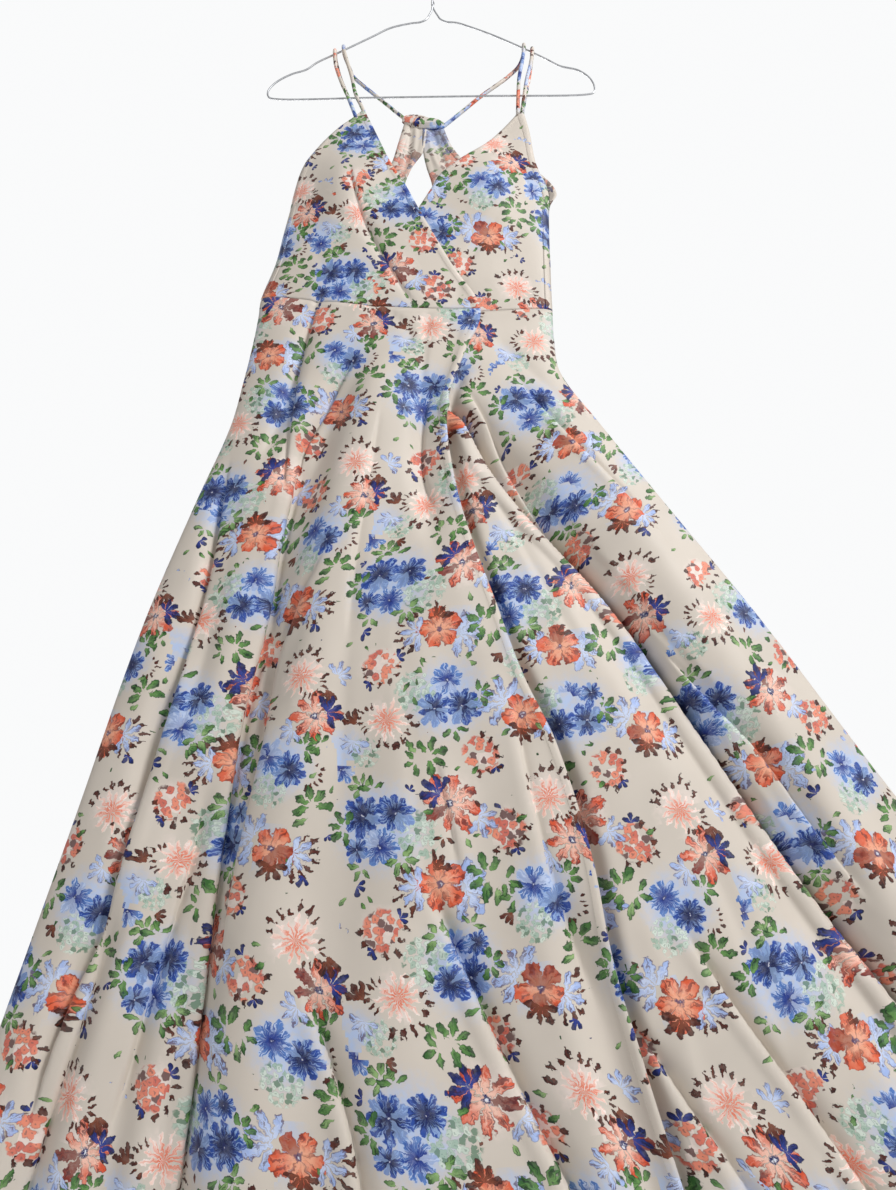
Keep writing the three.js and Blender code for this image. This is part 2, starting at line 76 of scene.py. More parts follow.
# Straps and hanger
STRAP_WIDTH = 4.6
STRAP_WALL = 0.5
STRAP_LIFT = 0.5
STRAP_ROOT = 6
STRAP_END = 5
STRAP_TUCK = 1.2
SHOULDER_SLOPE = 34
WIRE = 2.2
TWIST_RADIUS = 1.3
TWIST_PITCH = 24
TWIST_TOP_Z = -46
NECK_Z = -74
HOOK_RADIUS = 20
HOOK_TOP_Z = WIRE / 2

# Camera, which looks up at the dress from below the waist
CAMERA_PLACE = (-4.3, -798.5, -1214.8)
CAMERA_TILT = 111.8
CAMERA_ROLL = 1.2
FOCAL_PIXELS = 894
PHOTO_HEIGHT = 1190
SENSOR = 36


def table(columns, *rows):
    """A table of named columns, as arrays."""
    return dict(zip(columns.split(), np.array(rows, float).T))


def named_rows(columns, **rows):
    """A table whose rows have names too."""
    return {name: dict(zip(columns.split(), row)) for name, row in rows.items()}


OUTLINE = table(
    "z left right front back",
    (-240, -150, 126, 4, 7),
    (-262, -153, 127, 7, 8),
    (-300, -157, 128, 14, 10),
    (-345, -163, 130, 20, 12),
    (-376, -166, 138, 24, 14),
    (-389, -167.5, 141.5, 25, 15),
    (-410, -170, 131, 26, 16),
    (-446, -176, 127.5, 26, 16),
    (-490, -183, 126, 24, 16),
    (-540, -197, 124.3, 22, 16),
    (-563, -198.5, 124, 22, 16),
    (-600, -202.5, 123.5, 23, 18),
    (-645, -209, 128, 26, 20),
    (-706, -220, 163, 30, 22),
    (-795, -249, 217, 34, 25),
    (-925, -288, 297, 38, 29),
    (-1100, -328, 395, 42, 33),
    (-1275, -369, 501, 46, 37),
    (-1451, -411, 606, 49, 40),
    (-1640, -455, 720, 52, 42),
)

OVER_EDGE = table(
    "z x",
    (-256, -87), (-304, -72), (-361, -54), (-397, -38), (-440, -20), (-510, 13), (-571, 44),
    (-632, 26), (-690, 8), (-730, 5), (-800, 13), (-860, 26), (-922, 45), (-990, 66),
    (-1050, 91), (-1139, 113), (-1223, 124), (-1294, 140), (-1378, 161), (-1480, 188), (-1640, 228),
)
LEFT_ARMHOLE = table(
    "z x",
    (-270, -97), (-290, -115), (-308, -129), (-331, -145), (-345, -154), (-364, -161), (-390, -166.5),
    (-410, -170),
)
RIGHT_ARMHOLE = table(
    "z x", (-258, 107.5), (-300, 113), (-330, 115), (-352, 117), (-370, 121), (-392, 127.5), (-410, 131)
)
UNDER_NECKLINE = table(
    "z x",
    (-264, 101), (-299, 77), (-325, 57), (-352, 29), (-380, 4), (-402, -6), (-434, -22), (-490, -48),
    (-570, -78),
)
BACK_LEFT_TOP = [
    (-37, -262), (-46.5, -300), (-55, -330), (-65, -343), (-78, -337), (-100, -352), (-135, -378),
    (-158, -395), (-170, -410),
]
BACK_LEFT_KEYHOLE = [
    (-11, -264), (-12, -296), (-15.5, -311), (-24.5, -326), (-33, -342), (-38.5, -362),
    (-39.5, -384), (-36, -412), (-29, -434), (-21.2, -450),
]
BACK_RIGHT_TOP = [
    (8, -268), (18, -300), (30, -322), (50, -347), (76, -349), (97, -337), (120, -352), (136, -375),
    (140.5, -390), (131, -410),
]
BACK_RIGHT_KEYHOLE = [
    (-17, -266), (-16.6, -300), (-15.6, -312), (-12, -334), (-6, -358), (-4, -382), (-6, -412),
    (-13, -435), (-19.8, -450),
]
CENTRE_BACK_X = -20.5

CUPS = table("x z wide tall height", (-104, -400, 42, 52, 9), (66, -402, 40, 52, 9))

# Folds of the front, as in the solids: each runs through three points, out or in where height is negative.
FOLD = "top_x top_z middle_x middle_z end_x end_z width height"
FRONT_FOLDS = table(
    FOLD,
    (-100, -395, -60, -497, -21, -572, 9, -3),
    (-131, -540, -152, -635, -183, -790, 13, -7),
    (-87, -610, -163, -930, -214, -1700, 21, -15),
    (-50, -600, -118, -960, -150, -1700, 36, 12),
    (-108, -850, -140, -935, -168, -1080, 14, -8),
    (-221, -700, -219, -862, -232, -1040, 15, -8),
    (-243, -870, -255, -983, -272, -1130, 15, -7),
    (-206, -1040, -234, -1184, -285, -1700, 19, -13),
    (-270, -1120, -308, -1290, -372, -1700, 19, -12),
    (-12, -650, -20, -765, 0, -900, 13, -8),
    (-20, -820, -35, -1050, -55, -1700, 48, 13),
    (-10, -780, 50, -1050, 170, -1700, 30, 8),
    (72, -1120, 100, -1225, 196, -1700, 18, -11),
    (20, -690, 158, -940, 540, -1700, 24, -17),
    (95, -640, 250, -960, 620, -1700, 38, 11),
    (235, -980, 320, -1180, 480, -1700, 22, -10),
    (300, -1180, 350, -1300, 430, -1700, 34, 10),
)
BACK_FOLDS = table(
    "across top width height",
    (0.1, -820, 26, -10), (0.2, -590, 30, 12), (0.31, -700, 24, -13), (0.43, -600, 40, 13),
    (0.54, -760, 26, -12), (0.65, -620, 36, 13), (0.75, -720, 24, -13), (0.86, -900, 34, 11),
)

# Creases that are finer than the solids' folds, steeper on one side than the other.
CREASE = "top_x top_z middle_x middle_z end_x end_z left_width right_width fade height"
FRONT_CREASES = table(
    CREASE,
    (-112, -548, -72, -566, -30, -618, 9, 3, 22, -2.0),
    (-131, -545, -146, -619, -178, -740, 4, 11, 26, -2.4),
    (-12, -584, -17, -640, -24, -700, 7, 4, 30, -1.6),
    (30, -590, 18, -640, 2, -700, 5, 9, 30, 2.0),
    (62, -612, 101, -655, 160, -730, 7, 12, 34, -1.8),
    (47, -729, 110, -819, 240, -1010, 9, 5, 50, -2.4),
    (27, -751, 60, -825, 120, -960, 5, 9, 40, -2.2),
    (-78, -860, -88, -955, -92, -1080, 12, 7, 60, -1.6),
    (-42, -930, -31, -1063, -12, -1210, 8, 14, 70, -1.8),
    (-222, -740, -222, -860, -236, -1010, 5, 9, 50, -2.2),
    (-160, -870, -163, -1000, -188, -1240, 4, 10, 70, -3.0),
    (201, -1120, 238, -1225, 280, -1400, 8, 12, 60, -2.2),
    (150, -1180, 176, -1290, 200, -1420, 12, 8, 60, 1.8),
    (70, -440, 36, -500, 20, -566, 9, 5, 30, -1.1),
    (-128, -430, -98, -452, -70, -480, 8, 12, 26, -1.2),
    (-150, -470, -130, -500, -118, -536, 8, 8, 24, -0.9),
)


def fold_line(over, depth, wall, lap, hidden, fade, *route):
    """A long fold whose one side laps over the valley beside it. over is the side whose cloth lies on top,
    wall is the valley's soft side, lap is how far the cloth reaches over it, hidden is how much cloth lies
    inside the fold, fade is the length of its ends, and the route's points are (x, z) from the top down."""
    x, z = np.array(route, float).T
    side = 1 if over == "left" else -1
    return dict(side=side, depth=depth, wall=wall, lap=lap, hidden=hidden, fade=fade, x=x, z=z)


# The steep side's width, the narrow deep part's share and sharpness, and the raised lip beside the valley
STEEP = 1.8
CORE_SHARE = 0.38
CORE = 2.8
LIP = 0.25
LIP_PLACE = -7
LIP_WIDTH = 6
# Where the cloth is shifted most, and how far the shift reaches towards the cloth on top and the valley
LAP_PLACE = -2
LAP_REACH_OVER = 4.5
LAP_REACH_VALLEY = 2
HIDDEN_FADE = 190
HIDDEN_STEP = 1.2
# The over panel's free edge, which stands off the under panel's hollow beside it
EDGE_LIFT = 3.5
EDGE_LIFT_WIDTH = 13
EDGE_HOLLOW = 10
EDGE_HOLLOW_PLACE = 2
EDGE_HOLLOW_LEFT = 9
EDGE_HOLLOW_RIGHT = 7.5
EDGE_FADE = 60
WRINKLE = 0.8

FRONT_LINES = [
    fold_line("left", 22, 9, 8, 28, 16, (8, -694), (37, -763), (70, -817), (142, -906), (211, -1028),
              (278, -1150), (345, -1262), (430, -1400)),
    fold_line("left", 4, 9, 2.5, 8, 40, (16, -660), (42, -712), (62, -765), (96, -830), (140, -890)),
    fold_line("left", 8.5, 9, 4.5, 16, 70, (-136, -740), (-150, -790), (-160, -850), (-168, -921),
              (-185, -1014), (-195, -1116), (-203, -1280), (-210, -1420)),
    fold_line("right", 5, 9, 3, 10, 30, (-84, -630), (-112, -690), (-133, -735), (-146, -780)),
    fold_line("right", 7, 10, 4, 14, 46, (-108, -860), (-130, -907), (-151, -969), (-160, -1051),
              (-176, -1140), (-186, -1230)),
    fold_line("right", 10, 12, 4.5, 16, 60, (-214, -740), (-221, -870), (-236, -958), (-256, -1056),
              (-280, -1170), (-306, -1250), (-330, -1340)),
    fold_line("right", 4, 9, 1.5, 6, 30, (-131, -552), (-148, -649), (-154, -742), (-156, -800)),
    fold_line("left", 6, 10, 3, 10, 60, (-210, -1069), (-229, -1174), (-248, -1251), (-266, -1350)),
    fold_line("left", 6, 10, 3, 10, 60, (-273, -1146), (-297, -1257), (-323, -1363), (-342, -1450)),
    fold_line("left", 8, 11, 3.5, 12, 60, (-124, -1222), (-102, -1275), (-78, -1342), (-62, -1430)),
    fold_line("right", 3.5, 8, 1, 4, 30, (-10, -680), (-18, -733), (-18, -778), (-7, -822)),
    fold_line("left", 11, 13, 4.5, 16, 60, (-26, -1150), (-1, -1213), (37, -1295), (75, -1370),
              (112, -1450)),
    fold_line("left", 8, 11, 3.5, 12, 50, (132, -1258), (164, -1314), (205, -1376), (250, -1450)),
    fold_line("left", 9, 12, 3.5, 12, 60, (176, -1190), (217, -1261), (266, -1336), (330, -1440)),
    fold_line("left", 4.5, 10, 2, 7, 50, (184, -945), (234, -1014), (268, -1054), (305, -1120),
              (345, -1190)),
    fold_line("left", 3, 10, 0, 0, 60, (-60, -700), (-72, -790), (-84, -880), (-90, -960)),
    fold_line("right", 3, 9, 0.5, 2, 40, (-14, -1050), (1, -1120), (10, -1175)),
    fold_line("left", 5, 11, 1.5, 6, 50, (72, -652), (118, -722), (170, -790), (220, -860)),
    fold_line("left", 5, 10, 1.5, 6, 60, (52, -990), (66, -1090), (84, -1180), (112, -1270)),
    fold_line("right", 2.4, 7, 1.2, 14, 34, (-100, -362), (-92, -410), (-80, -452), (-58, -502),
              (-20, -580)),
    fold_line("left", 2.5, 7, 0.6, 0, 16, (90, -342), (96, -360), (102, -382), (110, -412)),
]
BACK_LINES = [
    fold_line("left", 8, 12, 3, 12, 80, (-90, -700), (-112, -850), (-140, -1040), (-168, -1250),
              (-190, -1440)),
    fold_line("right", 7, 11, 3, 12, 80, (-150, -820), (-190, -980), (-238, -1180), (-280, -1400)),
    fold_line("left", 9, 13, 3.5, 14, 80, (-30, -640), (-44, -820), (-40, -1050), (-50, -1260),
              (-46, -1470)),
    fold_line("right", 8, 12, 3.5, 12, 80, (30, -680), (56, -860), (90, -1060), (120, -1260), (160, -1480)),
    fold_line("left", 9, 13, 3.5, 14, 80, (120, -720), (184, -880), (262, -1060), (336, -1250),
              (414, -1440)),
    fold_line("left", 5, 10, 2, 8, 60, (20, -1080), (36, -1210), (60, -1330), (70, -1470)),
    fold_line("right", 5, 10, 2, 8, 60, (-96, -1120), (-110, -1240), (-120, -1350), (-140, -1460)),
]
BACK_CREASES = table(
    CREASE,
    (-30, -272, -33, -305, -42, -350, 3, 5, 16, 1.5),
    (-24, -272, -26, -300, -31, -335, 3, 3, 16, -1.2),
    (-4, -276, 4, -306, 16, -350, 4, 3, 16, 1.5),
    (-12, -276, -8, -300, 2, -335, 3, 3, 16, -1.2),
    (-60, -345, -90, -420, -104, -520, 14, 8, 40, -1.6),
    (52, -350, 66, -420, 70, -520, 8, 14, 40, -1.6),
    (-20, -560, -60, -700, -120, -900, 9, 14, 60, -2.0),
    (10, -560, 60, -690, 140, -880, 14, 9, 60, -2.0),
    (-120, -700, -160, -900, -200, -1200, 12, 8, 80, -2.2),
    (160, -820, 240, -1000, 330, -1250, 9, 14, 80, -2.2),
    (-60, -950, -70, -1120, -90, -1300, 14, 9, 80, 1.8),
    (90, -900, 140, -1100, 190, -1320, 10, 14, 80, 1.8),
)

HANGER = table(
    "z left right",
    (-84, -5, 5.5), (-92, -9, 9.5), (-97, -17, 17), (-99, -29, 30), (-107, -55, 47), (-123, -79, 76),
    (-150, -119.5, 117), (-168, -147.5, 142), (-180.5, -161, 158.5), (-188.7, -180, 181),
    (-203, -198.5, 194.5), (-218, -207, 199), (-228, -205, 197),
)
BAR_Z = -231
BAR_LEFT_X = -196
BAR_RIGHT_X = 188

# Straps: the line in front from the cup up, x and z of the wire's top where the strap crosses it, and the
# line behind down to the knot or the back piece.
STRAPS = {
    "strap_left_inner": {
        "front": [(-88.8, -6, -256), (-97.5, -5.6, -231), (-103, -5.2, -200), (-110, -4.8, -170)],
        "wire": (-114.5, -146.6),
        "back": [
            (-108, 5, -170), (-101.5, 5.6, -188), (-90, 6, -202), (-68, 6.6, -226), (-39.4, 7.9, -256.8),
        ],
    },
    "strap_left_outer": {
        "front": [(-97.4, -6, -267.5), (-104, -5.6, -244), (-117, -5.2, -205), (-123.5, -4.8, -178)],
        "wire": (-125.4, -153.8),
        "back": [(-119.5, 5.5, -185), (-107, 7, -225), (-92, 9, -275), (-82, 10.5, -315), (-78, 11, -336.9)],
    },
    "strap_right_inner": {
        "front": [(100.8, -6, -262.9), (102, -5.6, -245), (105.5, -5.2, -205), (110.5, -4.8, -178)],
        "wire": (114.5, -148.4),
        "back": [(108, 5, -172), (93, 5.6, -191), (56, 6.6, -225), (33, 7.2, -249), (11.9, 7.9, -270.1)],
    },
    "strap_right_outer": {
        "front": [(106.9, -6, -257.9), (110.5, -5.7, -235), (114.5, -5.2, -210), (121, -4.8, -182)],
        "wire": (124.7, -155.5),
        "back": [(120, 5.5, -190), (112, 7, -230), (104, 7.6, -280), (98.5, 7.7, -318), (97, 7.7, -338.3)],
    },
}

# The knot: its pleats, the roll of its cloth, how far its middle is drawn in, and its cut from the flat cloth
KNOT_PLEATS = 3.5
KNOT_PLEAT = 0.13
KNOT_ROLL = 0.04
KNOT_SQUEEZE = 0.1
KNOT_CUT = (44, 52)
KNOT_CUT_FROM = (130, 40)
KNOT = {"x": -14.5, "y": 8, "z": -266, "half_length": 27, "half_depth": 6.5, "half_height": 11.5, "tilt": 14}


def mix(a, b, t):
    return a + (b - a) * t


def ease(t):
    c = np.clip(t, 0, 1)
    return c * c * (3 - 2 * c)


def down(rows, column):
    """A smooth curve through one column of a table whose rows go down in z."""
    z, value = rows["z"], rows[column]
    last = len(z) - 1
    before = np.maximum(np.arange(last + 1) - 1, 0)
    after = np.minimum(np.arange(last + 1) + 1, last)
    tangent = (value[after] - value[before]) / (z[after] - z[before])

    def at(height):
        inside = np.clip(height, z[last], z[0])
        i = np.minimum(np.searchsorted(-z[1:], -inside, side="left"), last - 1)
        step = z[i + 1] - z[i]
        t = (inside - z[i]) / step
        t2, t3 = t * t, t * t * t
        return (
            (2 * t3 - 3 * t2 + 1) * value[i] + (t3 - 2 * t2 + t) * step * tangent[i]
            + (3 * t2 - 2 * t3) * value[i + 1] + (t3 - t2) * step * tangent[i + 1]
        )

    return at


side_left = down(OUTLINE, "left")
side_right = down(OUTLINE, "right")
front_depth = down(OUTLINE, "front")
back_depth = down(OUTLINE, "back")
over_edge = down(OVER_EDGE, "x")
left_armhole = down(LEFT_ARMHOLE, "x")
right_armhole = down(RIGHT_ARMHOLE, "x")
under_neckline = down(UNDER_NECKLINE, "x")


def roundness(x, z):
    """0 at the side seams and 1 in the middle, as round as an ellipse."""
    left = side_left(z)
    across = (x - left) / (side_right(z) - left)
    return np.sqrt(np.maximum(0, 1 - (2 * across - 1) ** 2))


def away_from_sides(x, z):
    return ease(np.minimum(x - side_left(z), side_right(z) - x) / SIDE_FADE)


def path(rows, k, z):
    """x of fold k at a height, on the parabola through its three points."""
    x0, z0, x1, z1, x2, z2 = (rows[c][k] for c in FOLD.split()[:6])
    return (
        x0 * (z - z1) * (z - z2) / ((z0 - z1) * (z0 - z2))
        + x1 * (z - z0) * (z - z2) / ((z1 - z0) * (z1 - z2))
        + x2 * (z - z0) * (z - z1) / ((z2 - z0) * (z2 - z1))
    )


def front_folds(x, z):
    total = np.zeros(np.broadcast(x, z).shape)
    for k in range(len(FRONT_FOLDS["width"])):
        start = ease((FRONT_FOLDS["top_z"][k] - z) / FOLD_FADE)
        stop = ease((z - FRONT_FOLDS["end_z"][k]) / FOLD_FADE)
        off = (x - path(FRONT_FOLDS, k, z)) / FRONT_FOLDS["width"][k]
        total = total + FRONT_FOLDS["height"][k] * start * stop * np.exp(-off * off)
    return total


def back_folds(x, z):
    left = side_left(z)
    width = side_right(z) - left
    total = np.zeros(np.broadcast(x, z).shape)
    for across, top, fold_width, height in zip(*BACK_FOLDS.values()):
        off = (x - left - across * width) / fold_width
        total = total + height * ease((top - z) / (3 * FOLD_FADE)) * np.exp(-off * off)
    return total


def creases(rows, x, z):
    """Fine creases, each with a steep side and a soft side."""
    total = np.zeros(np.broadcast(x, z).shape)
    for k in range(len(rows["height"])):
        fade = rows["fade"][k]
        inside = np.clip(z, rows["end_z"][k], rows["top_z"][k])
        off = x - path(rows, k, inside)
        width = np.where(off < 0, rows["left_width"][k], rows["right_width"][k])
        ends = ease((rows["top_z"][k] + fade / 2 - z) / fade) * ease((z - rows["end_z"][k] + fade / 2) / fade)
        total = total + rows["height"][k] * ends * np.exp(-((off / width) ** 2))
    return total


def fold_lines(lines, x, z):
    """How far lapped folds raise and shift the cloth, and how much of it they hide to each point's left."""
    raised, shifted, hidden = (np.zeros(np.broadcast(x, z).shape) for _ in range(3))
    for line in lines:
        top, foot = line["z"][0], line["z"][-1]
        right = x - down(line, "x")(z)
        off = right * line["side"]
        ends = ease((top - z) / line["fade"]) * ease((z - foot) / line["fade"])
        away = np.where(off < 0, off / STEEP, np.maximum(off - line["lap"], 0) / line["wall"])
        valley = (1 - CORE_SHARE) * np.exp(-(away**2)) + CORE_SHARE * np.exp(-((CORE * away) ** 2))
        lip = LIP * np.exp(-(((off - LIP_PLACE) / LIP_WIDTH) ** 2))
        raised = raised + line["depth"] * ends * (lip - valley)
        reach = np.where(off < LAP_PLACE, LAP_REACH_OVER, LAP_REACH_VALLEY)
        shifted = shifted + line["side"] * line["lap"] * ends * np.exp(-(((off - LAP_PLACE) / reach) ** 2))
        grown = ease((top - z) / HIDDEN_FADE) * ease((z - foot) / HIDDEN_FADE)
        hidden = hidden + line["hidden"] * grown * (0.5 + 0.5 * np.tanh(right / HIDDEN_STEP))
    return raised, shifted, hidden


class Wrinkles:
    """Soft random unevenness of the cloth, the same on every run."""

    CELLS = 96

    def __init__(self, seed):
        self.values = np.random.RandomState(seed).uniform(-1, 1, (self.CELLS, self.CELLS))

    def at(self, x, z, size):
        fx, fz = x / size, z / size
        i, j = np.floor(fx).astype(int), np.floor(fz).astype(int)
        a, b = ease(fx - i), ease(fz - j)
        n = self.CELLS
        v = self.values
        upper = mix(v[j % n, i % n], v[j % n, (i + 1) % n], a)
        return mix(upper, mix(v[(j + 1) % n, i % n], v[(j + 1) % n, (i + 1) % n], a), b)

    def soft(self, x, z):
        return WRINKLE * (self.at(x + 0.3 * z, z * 0.5, 46) + 0.5 * self.at(x - 0.2 * z, z * 0.6 + 900, 21))


wrinkles = Wrinkles(7)


def cups(x, z):
    total = np.zeros(np.broadcast(x, z).shape)
    for cup_x, cup_z, wide, tall, height in zip(*CUPS.values()):
        total = total + height * np.exp(-(((x - cup_x) / wide) ** 2 + ((z - cup_z) / tall) ** 2))
    return total


def front_point(x, z, fine=True):
    relief, shift = cups(x, z) + front_folds(x, z), 0
    if fine:
        raised, shift, _ = fold_lines(FRONT_LINES, x, z)
        relief = relief + creases(FRONT_CREASES, x, z) + raised + wrinkles.soft(x, z)
    inside = away_from_sides(x, z)
    y = -(SEAM / 2 + front_depth(z) * roundness(x, z) + relief * inside)
    return np.stack(np.broadcast_arrays(x + shift * inside, y, z), -1)


def under_point(x, z, fine=True):
    """The under panel lies a little behind the over panel."""
    point = front_point(x, z, fine)
    point[..., 1] += UNDER_DROP * ease((side_right(z) - x) / SIDE_FADE)
    if fine:
        off = x - over_edge(z) - EDGE_HOLLOW_PLACE
        off = off / np.where(off < 0, EDGE_HOLLOW_LEFT, EDGE_HOLLOW_RIGHT)
        point[..., 1] += EDGE_HOLLOW * np.exp(-off * off) * ease((WAIST_LEFT_Z - 90 - z) / EDGE_FADE)
    return point


def over_point(x, z, fine=True):
    """The over panel, whose free edge stands a little away from the under panel."""
    point = front_point(x, z, fine)
    if fine:
        off = (over_edge(z) - x) / EDGE_LIFT_WIDTH
        point[..., 1] -= EDGE_LIFT * np.exp(-off * off) * ease((WAIST_LEFT_Z - 60 - z) / EDGE_FADE)
    return point


def back_point(x, z, fine=True):
    relief, shift = back_folds(x, z), 0
    if fine:
        raised, shift, _ = fold_lines(BACK_LINES, x, z)
        relief = relief + creases(BACK_CREASES, x, z) + raised + wrinkles.soft(x + 400, z)
    inside = away_from_sides(x, z)
    y = SEAM / 2 + back_depth(z) * roundness(x, z) + relief * inside
    return np.stack(np.broadcast_arrays(x + shift * inside, y, z), -1)


def waist_z(across, dip):
    return mix(WAIST_LEFT_Z, WAIST_RIGHT_Z, across) - dip * np.sin(np.pi * np.clip(across, 0, 1))


def skirt_place(across, t, waist_dip, hem_dip):
    """x and z of a point of the skirt at a fraction across and a fraction down."""
    left_z = mix(WAIST_LEFT_Z, HEM_LEFT_Z, t)
    right_z = mix(WAIST_RIGHT_Z, HEM_RIGHT_Z, t)
    dip = mix(waist_dip, hem_dip, t) * np.sin(np.pi * across)
    return mix(side_left(left_z), side_right(right_z), across), mix(left_z, right_z, across) - dip


def edge_across(t, shift=0):
    """How far across the over panel's free edge lies, a fraction down the skirt. The rows of the skirt slope,
    so the height and the place are settled in turn."""
    settle = 8
    across = np.full(np.shape(t), 0.6)
    left = skirt_place(np.zeros_like(across), t, WAIST_DIP, HEM_DIP)[0]
    right = skirt_place(np.ones_like(across), t, WAIST_DIP, HEM_DIP)[0]
    for _ in range(settle):
        z = skirt_place(across, t, WAIST_DIP, HEM_DIP)[1]
        across = (over_edge(z) + shift - left) / (right - left)
    return across


def from_seam(s):
    """Columns that crowd towards the outer seam."""
    return (s * s + SEAM_CROWD * s) / (SEAM_CROWD + 1)


def between_seams(s):
    """Columns that crowd towards both side seams."""
    return mix(s, (1 - np.cos(np.pi * s)) / 2, 0.45)


class Curve:
    """A centripetal Catmull-Rom curve through points, read by share of its length."""

    DIVISIONS = 200

    def __init__(self, points):
        self.points = np.array(points, float)
        grid = np.linspace(0, 1, self.DIVISIONS + 1)
        steps = np.linalg.norm(np.diff(self.at(grid), axis=0), axis=1)
        self.lengths = np.concatenate([[0], np.cumsum(steps)])
        self.grid = grid

    def at(self, t):
        points = self.points
        last = len(points) - 1
        place = np.asarray(t, float) * last
        i = np.minimum(np.floor(place).astype(int), last - 1)
        w = (place - i)[..., None]
        padded = np.concatenate([[2 * points[0] - points[1]], points, [2 * points[-1] - points[-2]]])
        a, b, c, d = (padded[i + k] for k in range(4))
        spans = [np.linalg.norm(q - p, axis=-1, keepdims=True) ** 0.5 for p, q in ((a, b), (b, c), (c, d))]
        s0, s1, s2 = (np.maximum(s, 1e-4) for s in spans)
        t1 = ((b - a) / s0 - (c - a) / (s0 + s1) + (c - b) / s1) * s1
        t2 = ((c - b) / s1 - (d - b) / (s1 + s2) + (d - c) / s2) * s1
        return b + t1 * w + (-3 * b + 3 * c - 2 * t1 - t2) * w**2 + (2 * b - 2 * c + t1 + t2) * w**3

    def share(self, s):
        return self.at(np.interp(np.asarray(s) * self.lengths[-1], self.lengths, self.grid))

    def length(self):
        return float(self.lengths[-1])


def bodice_front(outer_top, outer_x, outer_foot, inner_top, inner_x, inner_foot):
    """x and z over a bodice front between its outer and inner edges, its lowest row on the waistline."""
    left = side_left(WAIST_LEFT_Z)
    width = side_right(WAIST_RIGHT_Z) - left

    def layout(s, t):
        outer_z = mix(outer_top, outer_foot, t)
        inner_z = mix(inner_top, inner_foot, t)
        across = from_seam(s)
        x = mix(outer_x(outer_z), inner_x(inner_z), across)
        foot_x = mix(outer_x(np.float64(outer_foot)), inner_x(np.float64(inner_foot)), across)
        foot = waist_z((foot_x - left) / width, WAIST_DIP) + WAIST_GAP - mix(outer_foot, inner_foot, across)
        return x, mix(outer_z, inner_z, across) + foot * t**4

    return layout


def bodice_back(top_rows, keyhole_rows, side, foot_z, centre_x):
    """x and z over a back piece, between its top edge and side seam and its keyhole and centre-back seam."""
    left = side_left(WAIST_LEFT_Z)
    width = side_right(WAIST_RIGHT_Z) - left

    def waist(x):
        return waist_z((x - left) / width, BACK_WAIST_DIP) + WAIST_GAP

    heights = [mix(UNDERARM_Z, foot_z, t) for t in (0.25, 0.5, 0.75, 1)]
    seam = [(float(side(z)), z) for z in heights]
    outer = Curve([*top_rows, *seam])
    inner = Curve([*keyhole_rows, (centre_x, float(waist(centre_x)))])
    keyhole_foot = keyhole_rows[-1][1]

    def layout(s, t):
        outside = outer.share(t)
        inside = inner.share(t)
        outer_x = np.where(outside[..., 1] < UNDERARM_Z, side(outside[..., 1]), outside[..., 0])
        inner_x = np.where(inside[..., 1] < keyhole_foot, centre_x, inside[..., 0])
        across = from_seam(s)
        foot_x = mix(side(np.float64(foot_z)), centre_x, across)
        foot = waist(foot_x) - mix(foot_z, waist(centre_x), across)
        z = mix(outside[..., 1], inside[..., 1], across) + foot * t**4
        return mix(outer_x, inner_x, across), z

    return layout


def skirt_left_front(s, t):
    across = from_seam(s) * edge_across(t)
    return skirt_place(across, t, WAIST_DIP, HEM_DIP)


def skirt_right_front(s, t):
    across = mix(1, edge_across(t, -UNDERLAP), from_seam(s))
    return skirt_place(across, t, WAIST_DIP, HEM_DIP)


def skirt_back(s, t):
    return skirt_place(between_seams(s), t, BACK_WAIST_DIP, BACK_HEM_DIP)


# The flat cloth is measured along rows at these places and heights.
FLAT_COLUMNS = np.linspace(-480, 760, 621)
FLAT_HEIGHTS = np.linspace(-240, -1660, 285)


def flat_across(place):
    """How far along the cloth each point lies from the line x = 0, broad folds and all."""
    columns, heights = FLAT_COLUMNS, FLAT_HEIGHTS
    x, z = np.meshgrid(columns, heights)
    inside = np.clip(x, side_left(z), side_right(z))
    y = place(inside, z, False)[..., 1]
    steps = np.hypot(np.diff(inside, axis=1), np.diff(y, axis=1)) + (np.diff(inside, axis=1) == 0)
    along = np.concatenate([np.zeros((len(heights), 1)), np.cumsum(steps, axis=1)], axis=1)
    start = np.array([np.interp(0, columns, row) for row in along])
    along = along - start[:, None]

    def at(px, pz):
        fx = np.clip((px - columns[0]) / (columns[1] - columns[0]), 0, len(columns) - 1.001)
        fz = np.clip((pz - heights[0]) / (heights[1] - heights[0]), 0, len(heights) - 1.001)
        i, j = fx.astype(int), fz.astype(int)
        a, b = fx - i, fz - j
        upper = along[j, i] * (1 - a) + along[j, i + 1] * a
        lower = along[j + 1, i] * (1 - a) + along[j + 1, i + 1] * a
        return upper * (1 - b) + lower * b

    return at


def link(name, data):
    """A new object of the scene."""
    obj = bpy.data.objects.new(name, data)
    bpy.context.scene.collection.objects.link(obj)
    return obj


def smooth_mesh(name, points, faces, materials):
    """A smooth mesh object, made of points in millimetres."""
    mesh = bpy.data.meshes.new(name)
    mesh.from_pydata((points * MM).tolist(), [], faces)
    mesh.polygons.foreach_set("use_smooth", np.ones(len(faces), bool))
    for material in materials:
        mesh.materials.append(material)
    mesh.update()
    return link(name, mesh)


